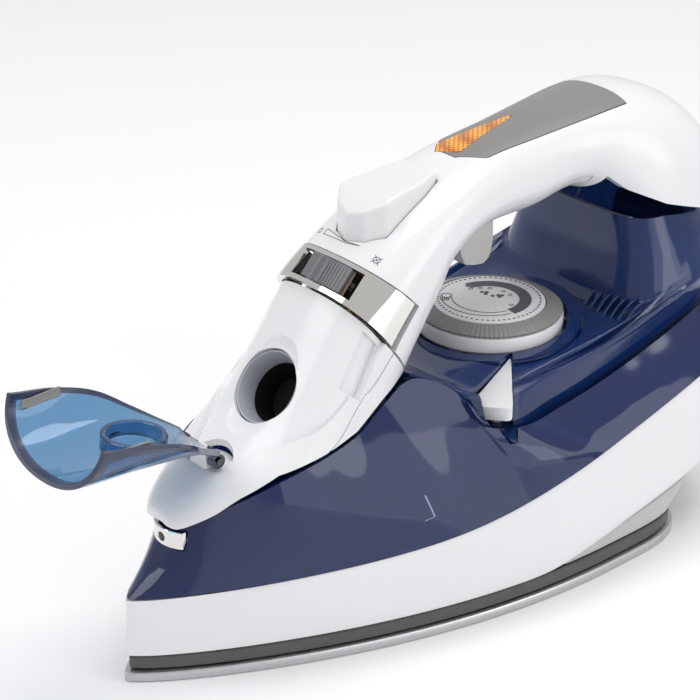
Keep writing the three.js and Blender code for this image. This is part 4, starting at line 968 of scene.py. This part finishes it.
def clean_outline(grow, soft=2.6, steps=7):
    """The self-clean button's triangle with rounded corners."""
    corners = []
    for c in CLEAN_CORNERS:
        away = np.array(c) - clean_middle
        corners.append(np.array(c) + away / np.linalg.norm(away) * grow * 2)
    out = []
    for i, c in enumerate(corners):
        before = corners[i - 1] - c
        after = corners[(i + 1) % 3] - c
        a = c + before / np.linalg.norm(before) * soft
        b = c + after / np.linalg.norm(after) * soft
        for j in range(steps + 1):
            t = j / steps
            out.append(tuple((1 - t) ** 2 * a + 2 * t * (1 - t) * c + t ** 2 * b))
    return out


def sharp_clean(grow):
    return clean_outline(grow, soft=0.05, steps=1)


def tank_row(t, base, rim):
    """Half of the tank's surface at t, from 0 at its foot to 1 at its rim."""
    q = base + (rim - base) * t
    side = np.minimum(1, q[:, 0] / 24)
    swell = math.sin(math.pi * t) * (-TANK_DIP + (TANK_SWELL + TANK_DIP) * side)
    return q + np.stack([swell * side, -swell * (1 - side), 0 * side], axis=1)


def level_mark(base, rim):
    """A fill level tick on each side of the tank: an upright line and a short foot."""
    parts = []
    for side in (-1, 1):
        for path in ([(t, 46) for t in np.linspace(0.2, 0.37, 9)], [(0.2, 46), (0.2, 45.4), (0.2, 44.8),
                (0.2, 44)]):
            pts = []
            for t, i in path:
                low = int(i)
                a, b = tank_row(t, base, rim)[low:low + 2]
                pts.append(a + (b - a) * (i - low))
            pts = np.array(pts) * [side, 1, 1]
            out = np.array([0.9 * side, -0.3, 0.3])
            grid = pts[:, None] + np.array([[0, 0, 0], [0, 0.5, 0.25]])[None, :] + out * 0.12
            verts, faces = sheet(grid, 0.25, normals=np.broadcast_to(out / np.linalg.norm(out), grid.shape))
            parts.append((verts.tolist(), faces))
    joined("level_mark", parts, PRINT_PALE)


def joined(name, parts, colour, body="body"):
    verts = []
    faces = []
    for v, f in parts:
        faces += [[i + len(verts) for i in face] for face in f]
        verts += list(v)
    return make(name, verts, faces, colour, body, smooth=False)


def tank():
    base = smooth([(half_width(y, *SKIRT_TOP), y, float(tank_line(y)) + GAP) for y, _ in TANK_PAIRS], 8)
    rim = smooth([p for _, p in TANK_PAIRS], 8)
    rows = [whole_strip(tank_row(t, base, rim)) for t in np.linspace(0, 1, 29)]
    shell = wall("navy_tank", np.array(rows), 0, WALL, False, NAVY)
    edge = [(y, float(tank_line(y)) + 1.6 * GAP) for y in np.linspace(-120, 160, 57)]
    cut(shell, side_prism("above_skirt", edge + [(160, FAR), (-120, FAR)], 200), "INTERSECT")
    cut(shell, well(sharp_clean(2.6), CLEAN_FLOOR - 2, CLEAN_FLOOR + 40, NAVY))
    _, y, z = PLATE_CENTRE
    room = block("plate_room", (-PLATE_HALF - GAP, -FAR, z - GAP), (PLATE_HALF + GAP, y,
        z + PLATE_HEIGHT + GAP), NAVY,
                 bevel=0)
    cut(room, rod("plate_core", PLATE_RADIUS - PLATE_WALL - GAP, 80, (0, y, z - 20), UP, NAVY))
    cut(shell, room)
    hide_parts("tank_shell")
    level_mark(base, rim)


tank()


def housing():
    rings_fine = np.array([whole_ring(smooth(ring, 7)) for ring in HOUSING_RINGS])
    steps = np.linspace(0, len(HOUSING_RINGS) - 1, 61)
    low = np.minimum(steps.astype(int), len(HOUSING_RINGS) - 2)
    p = rings_fine[low] + (rings_fine[low + 1] - rings_fine[low]) * (steps - low)[:, None, None]
    for _ in range(3):
        p[1:-1] = (p[:-2] + 2 * p[1:-1] + p[2:]) / 4
    shell = wall("navy_deck", p, 0, WALL, True, DECK)
    cut(shell, rod("collar_room", DIAL_RADIUS + 7.2, 9, (0, DIAL_Y, 80.95), UP, DECK, sides=128, bevel=0))
    cut(shell, rod("shaft_room", 4, 20, (0, DIAL_Y, 71.2), UP, DECK, bevel=0))
    cut(shell, well(clean_outline(0.5), CLEAN_FLOOR, CLEAN_FLOOR + 40, DECK))
    bore = (clean_middle[0], clean_middle[1], CLEAN_FLOOR - 30)
    cut(shell, rod("clean_bore", 2.8, 60, bore, UP, DECK, bevel=0))
    cut(shell, well(sharp_clean(2.3), CLEAN_FLOOR - 1.9, CLEAN_FLOOR + 0.05, DECK))
    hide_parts("upper_housing")
    collar = tube("deck_collar", DIAL_RADIUS + 1.8, DIAL_RADIUS + 6.8, 20, (0, DIAL_Y, 81.3), UP, DECK,
        sides=144)
    top = [(0, 60), (0, 82.2), (24, 82.6), (60, 84), (78, 86), (120, 92), (120, 60)]
    cut(collar, side_prism("collar_top", top, 100), "INTERSECT")
    cut(collar, well(clean_outline(0.8), 60, 200, DECK))
    rounded(collar, 0.5, 3, 40)
    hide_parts("dial_collar")


housing()


def clean_button():
    def under(name, lift):
        def height(y):
            return CLEAN_LOW + lift + 0.24 * (y - 17)
        return side_prism(name, [(-20, -50), (-20, height(-20)), (80, height(80)), (80, -50)], 120)

    head = slab("clean_cap", clean_outline(0), 20, 200, WHITE_BUTTON, "clean_key", bevel=0)
    cut(head, under("top", 0), "INTERSECT")
    cut(head, under("foot", -CLEAN_THICK))
    rounded(head, 0.8, 4, 40)
    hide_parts("self_clean_button")
    rod("clean_stem", 2.4, CLEAN_THICK + 9, (clean_middle[0], clean_middle[1],
        CLEAN_LOW - CLEAN_THICK - 12), UP,
        WHITE_BUTTON, "clean_key", 32)


clean_button()


# ---------- dial ----------
def dial():
    r = DIAL_RADIUS
    inner = FACE_RADIUS + GAP
    low = (0, DIAL_Y, DIAL_LOW)
    top = (0, DIAL_Y, DIAL_LOW + DIAL_THICK + GAP)
    knob = [(3.35, 0), (r - 1.4, 0), (r - 0.5, 0.4), (r, 1.2), (r, 5.4), (r - 0.4, 6.2), (r - 1.2,
        DIAL_THICK), (0, DIAL_THICK), (0, 5),
            (3.35, 5), (3.35, 0)]
    base = lathe("dial_base", knob, low, UP, WHITE_BUTTON, "dial", 144)
    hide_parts("dial_knob")

    def knurl(a, radius):
        grip = 0.32 * (0.5 + 0.5 * math.cos(96 * a)) if radius > 21.5 else 0
        return radius - grip

    bezel = [(inner, 0), (r - 0.2, 0), (r - 0.2, 0.5), (r - 1.2, 1.0), (22, 2.7), (21.2, 2.9), (inner,
        2.7), (inner, 0)]
    ring = lathe("dial_bezel", bezel, top, UP, GREY, "dial", 576, wave=knurl)
    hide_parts("dial_ring")
    disc = [(0, 0), (FACE_RADIUS, 0), (FACE_RADIUS, 2.5), (FACE_RADIUS - 0.3, 2.9), (FACE_RADIUS - 0.9,
        FACE_THICK),
            (0, FACE_THICK)]
    face = lathe("dial_disc", disc, top, UP, WHITE_BUTTON, "dial", 144)
    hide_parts("dial_face")
    return top[2] + FACE_THICK


PRINT_THICK = 0.08
DIAL_TURN = 48.9  # degrees from +X to the dial scale's own right hand


def arc_strip(inner, outer, a0, a1, z, centre=(0, DIAL_Y), step=3):
    """A thin closed strip between two radii (numbers or functions of 0..1) and two angles."""
    steps = max(2, int(abs(a1 - a0) / step))
    verts = []
    for i in range(steps + 1):
        t = i / steps
        a = math.radians(a0 + (a1 - a0) * t + DIAL_TURN)
        r0 = inner(t) if callable(inner) else inner
        r1 = outer(t) if callable(outer) else outer
        for r, h in ((r0, 0), (r1, 0), (r1, PRINT_THICK), (r0, PRINT_THICK)):
            verts.append((centre[0] + r * math.cos(a), centre[1] + r * math.sin(a), z + h))
    flip = a1 > a0
    faces = [(0, 1, 2, 3)] if flip else [(3, 2, 1, 0)]
    for i in range(steps):
        for j in range(4):
            k = (j + 1) % 4
            face = (4 * i + k, 4 * i + j, 4 * i + 4 + j, 4 * i + 4 + k)
            faces.append(face if flip else face[::-1])
    end = tuple(4 * steps + j for j in (3, 2, 1, 0))
    faces.append(end if flip else end[::-1])
    return verts, faces


def polar(r, a):
    a = math.radians(a + DIAL_TURN)
    return r * math.cos(a), DIAL_Y + r * math.sin(a)


def dial_scale(z):
    """A scale without lettering: dashes, a dark arc that thickens, an outlined arc and rows of dots."""
    size = FACE_RADIUS
    dashes = [arc_strip(0.89 * size, 0.925 * size, a, a + 2.6, z) for a in range(0, 360, 6)]
    joined("dial_dashes", dashes, PRINT, "dial")
    joined("dial_dark_arc", [arc_strip(0.535 * size, 0.75 * size, 122, -57, z),
                             arc_strip(0.6 * size, 0.69 * size, 126, 122, z)], PRINT, "dial")
    lines = []
    for low, high in ((0.575, 0.66), (0.7, 0.86)):
        lines.append(arc_strip(lambda t, a=low, b=high: size * (a + (b - a) * t ** 2),
                               lambda t, a=low, b=high: size * (a + (b - a) * t ** 2 + 0.02), -62, -186, z))
    lines.append(arc_strip(0.08 * size, 0.1 * size, 0, 360, z, polar(0.76 * size, -190)))
    joined("dial_outlined_arc", lines, PRINT, "dial")
    bars = [arc_strip((0.71 + 0.035 * i) * size, (0.73 + 0.035 * i) * size, -174, -184, z) for i in range(4)]
    joined("dial_bars", bars, PRINT, "dial")
    dots = []
    for r, a, big in ((0.52, 126, 1.0), (0.47, 106, 1.0), (0.44, 85, 1.0), (0.41, 48, 0.9), (0.41, 22,
            0.9), (0.46, -36, 0.9)):
        dots.append(arc_strip(0.62 * big, 0.9 * big, 0, 360, z, polar(r * size, a), step=15))
    for r, a in ((0.3, 112), (0.27, 96), (0.2, 104), (0.22, 40), (0.2, 20), (0.27, 28), (0.13, 60)):
        dots.append(arc_strip(0.05, 0.8, 0, 360, z, polar(r * size, a), step=15))
    joined("dial_dots", dots, PRINT, "dial")


dial_scale(dial() + 0.01)


def louvres():
    fin = [(87.5, 82.4), (98, 82.4), (98, 89.5), (95, 89), (92, 87.2), (89.5, 84.9)]
    for i in range(7):
        x = 15 + 3.7 * i
        shift = 0.28 * i
        outline = [(y - shift, z + 0.24 * i) for y, z in fin]
        prism(f"louvre_{i + 1}", outline, x, x + 1.1, 0, DECK, bevel=0.3)


louvres()


LINE_WIDTH = 0.22


def strip_on_white(points):
    """A thin printed line over the white body through (station, degrees) pairs."""
    pts = []
    for (k0, a0), (k1, a1) in zip(points, points[1:]):
        for t in np.linspace(0, 1, 9)[:-1]:
            pts.append((k0 + (k1 - k0) * t, a0 + (a1 - a0) * t))
    pts.append(points[-1])
    ks, angles = np.array(pts).T
    middle = white(ks, angles)
    normal = white_normal(ks, angles)
    along = np.gradient(middle, axis=0)
    across = np.cross(along, normal)
    across = across / np.linalg.norm(across, axis=1, keepdims=True)
    grid = np.stack([middle - across * LINE_WIDTH / 2, middle + across * LINE_WIDTH / 2], axis=1)
    lifted = grid + normal[:, None] * 0.09
    size = len(pts)
    verts = np.concatenate([lifted.reshape(-1, 3), (grid - normal[:, None] * 0.05).reshape(-1, 3)])
    faces = []
    for i in range(size - 1):
        a, b, c, d = 2 * i, 2 * i + 1, 2 * i + 3, 2 * i + 2
        n = 2 * size
        faces += [(a, b, c, d), (n + d, n + c, n + b, n + a), (a, d, n + d, n + a), (c, b, n + b, n + c)]
    faces += [(1, 0, 2 * size, 2 * size + 1), (2 * size - 2, 2 * size - 1, 4 * size - 1, 4 * size - 2)]
    return verts.tolist(), faces


def steam_marks():
    """Generic marks over the slider: a drop, a wedge that narrows, and a crossed drop."""
    def ring(k, a, size):
        loop = [(k + size * math.cos(math.radians(q)) * 0.09, a + size * math.sin(math.radians(q)) * 3)
                for q in range(0, 361, 30)]
        return strip_on_white(loop)

    wedge = strip_on_white([(10.42, -26), (10.62, -26), (10.46, 2), (10.52, 14), (10.42, 2), (10.42, -26)])
    k, a = 10.38, 35
    cross = [strip_on_white([(k - 0.12, a - 4), (k + 0.12, a + 4)]), strip_on_white([(k + 0.12, a - 4),
        (k - 0.12, a + 4)])]
    joined("steam_marks", [ring(10.5, -36, 1.0), wedge, ring(k, a, 1.1)] + cross, PRINT)


steam_marks()


# ---------- nozzle ----------
def nozzle():
    plate = tube("nozzle_shield", PLATE_RADIUS - PLATE_WALL, PLATE_RADIUS, PLATE_HEIGHT, PLATE_CENTRE, UP,
        CHROME, sides=180,
                 bevel=0.2)
    _, y, z = PLATE_CENTRE
    cut(plate, block("keep", (-PLATE_HALF, -FAR, 0), (PLATE_HALF, y, FAR), CHROME, bevel=0), "INTERSECT")
    cut(plate, rod("nozzle_bore", 1.7, 40, (0, y, z + 3), (0, -1, 0), CHROME, bevel=0))
    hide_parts("nozzle_plate")


nozzle()

# ---------- the solids that stay as they are ----------
KEPT = [
    (STEEL, "heating_element spray_spring trigger_pin trigger_spring clean_spring"),
    (CAST, "heater_casting chamber_cover"),
    (RUBBER, "chamber_seal valve_seat filler_seal"),
    (BLACK, "slider_track cord_swivel"),
    (NAVY, "tank_floor"),
    (AMBER, "indicator_lamp"),
    (DECK, "clean_niche"),
    (PALE, "spray_pump steam_pump thermostat_body spray_tube steam_tube thermal_fuse terminal_block"),
    (DARKER, "steam_piston hinge_pin spray_nozzle rear_cover"),
    (BRASS, "thermostat_shaft dosing_rod dosing_needle"),
    (STEEL, " ".join(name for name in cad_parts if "screw" in name)),
]
for finish, names in KEPT:
    for name in names.split():
        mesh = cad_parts[name].data
        mesh.materials.clear()
        mesh.materials.append(finish)


# ---------- floor, light and camera ----------
AIM = (0, 0.02, 0.07)
FLOOR_HALF = 6
CAMERA_LENS = 113.14
CAMERA_PLACE = (0.5149, -0.4614, 0.4270)
CAMERA_BACK = (0.6767, -0.5903, 0.4399)
CAMERA_RIGHT = (0.6574, 0.7536, 0)


def studio():
    scene = bpy.context.scene
    scene.view_settings.view_transform = "Standard"
    scene.view_settings.look = "None"
    world = bpy.data.worlds.new("studio")
    scene.world = world
    world.use_nodes = True
    background = world.node_tree.nodes["Background"]
    background.inputs["Color"].default_value = (1, 1, 1, 1)
    background.inputs["Strength"].default_value = 0.62
    mesh = bpy.data.meshes.new("floor")
    f = FLOOR_HALF
    mesh.from_pydata([(-f, -f, 0), (f, -f, 0), (f, f, 0), (-f, f, 0)], [], [(0, 1, 2, 3)])
    floor = bpy.data.objects.new("floor", mesh)
    scene.collection.objects.link(floor)
    mesh.materials.append(material("floor_white", "f7f7f8", 0.6, grain=(3, 0.05), second=("f4f4f5", 2)))


def softbox(name, place, target, size, power):
    light = bpy.data.lights.new(name, "AREA")
    light.shape = "RECTANGLE"
    light.size, light.size_y = size
    light.energy = power
    obj = bpy.data.objects.new(name, light)
    bpy.context.scene.collection.objects.link(obj)
    obj.location = place
    obj.rotation_euler = (Vector(target) - Vector(place)).to_track_quat("-Z", "Y").to_euler()


def camera():
    cam = bpy.data.cameras.new("camera")
    cam.sensor_width = 36
    cam.lens = CAMERA_LENS
    obj = bpy.data.objects.new("camera", cam)
    bpy.context.scene.collection.objects.link(obj)
    back = Vector(CAMERA_BACK).normalized()
    right = Vector(CAMERA_RIGHT).normalized()
    up = back.cross(right)
    turn = Matrix((right, up, back)).transposed()
    obj.matrix_world = Matrix.Translation(CAMERA_PLACE) @ turn.to_4x4()
    bpy.context.scene.camera = obj


studio()
softbox("key", (-0.3, -0.9, 1.1), AIM, (0.9, 0.9), 6)
softbox("side", (1.1, 0.5, 0.55), AIM, (0.5, 0.9), 2)
softbox("top", (0.1, 0.3, 1.3), AIM, (0.8, 0.8), 6.5)
softbox("low_side", (1.2, 0.15, 0.22), (0, 0.02, 0.1), (1.0, 0.7), 2.2)
camera()
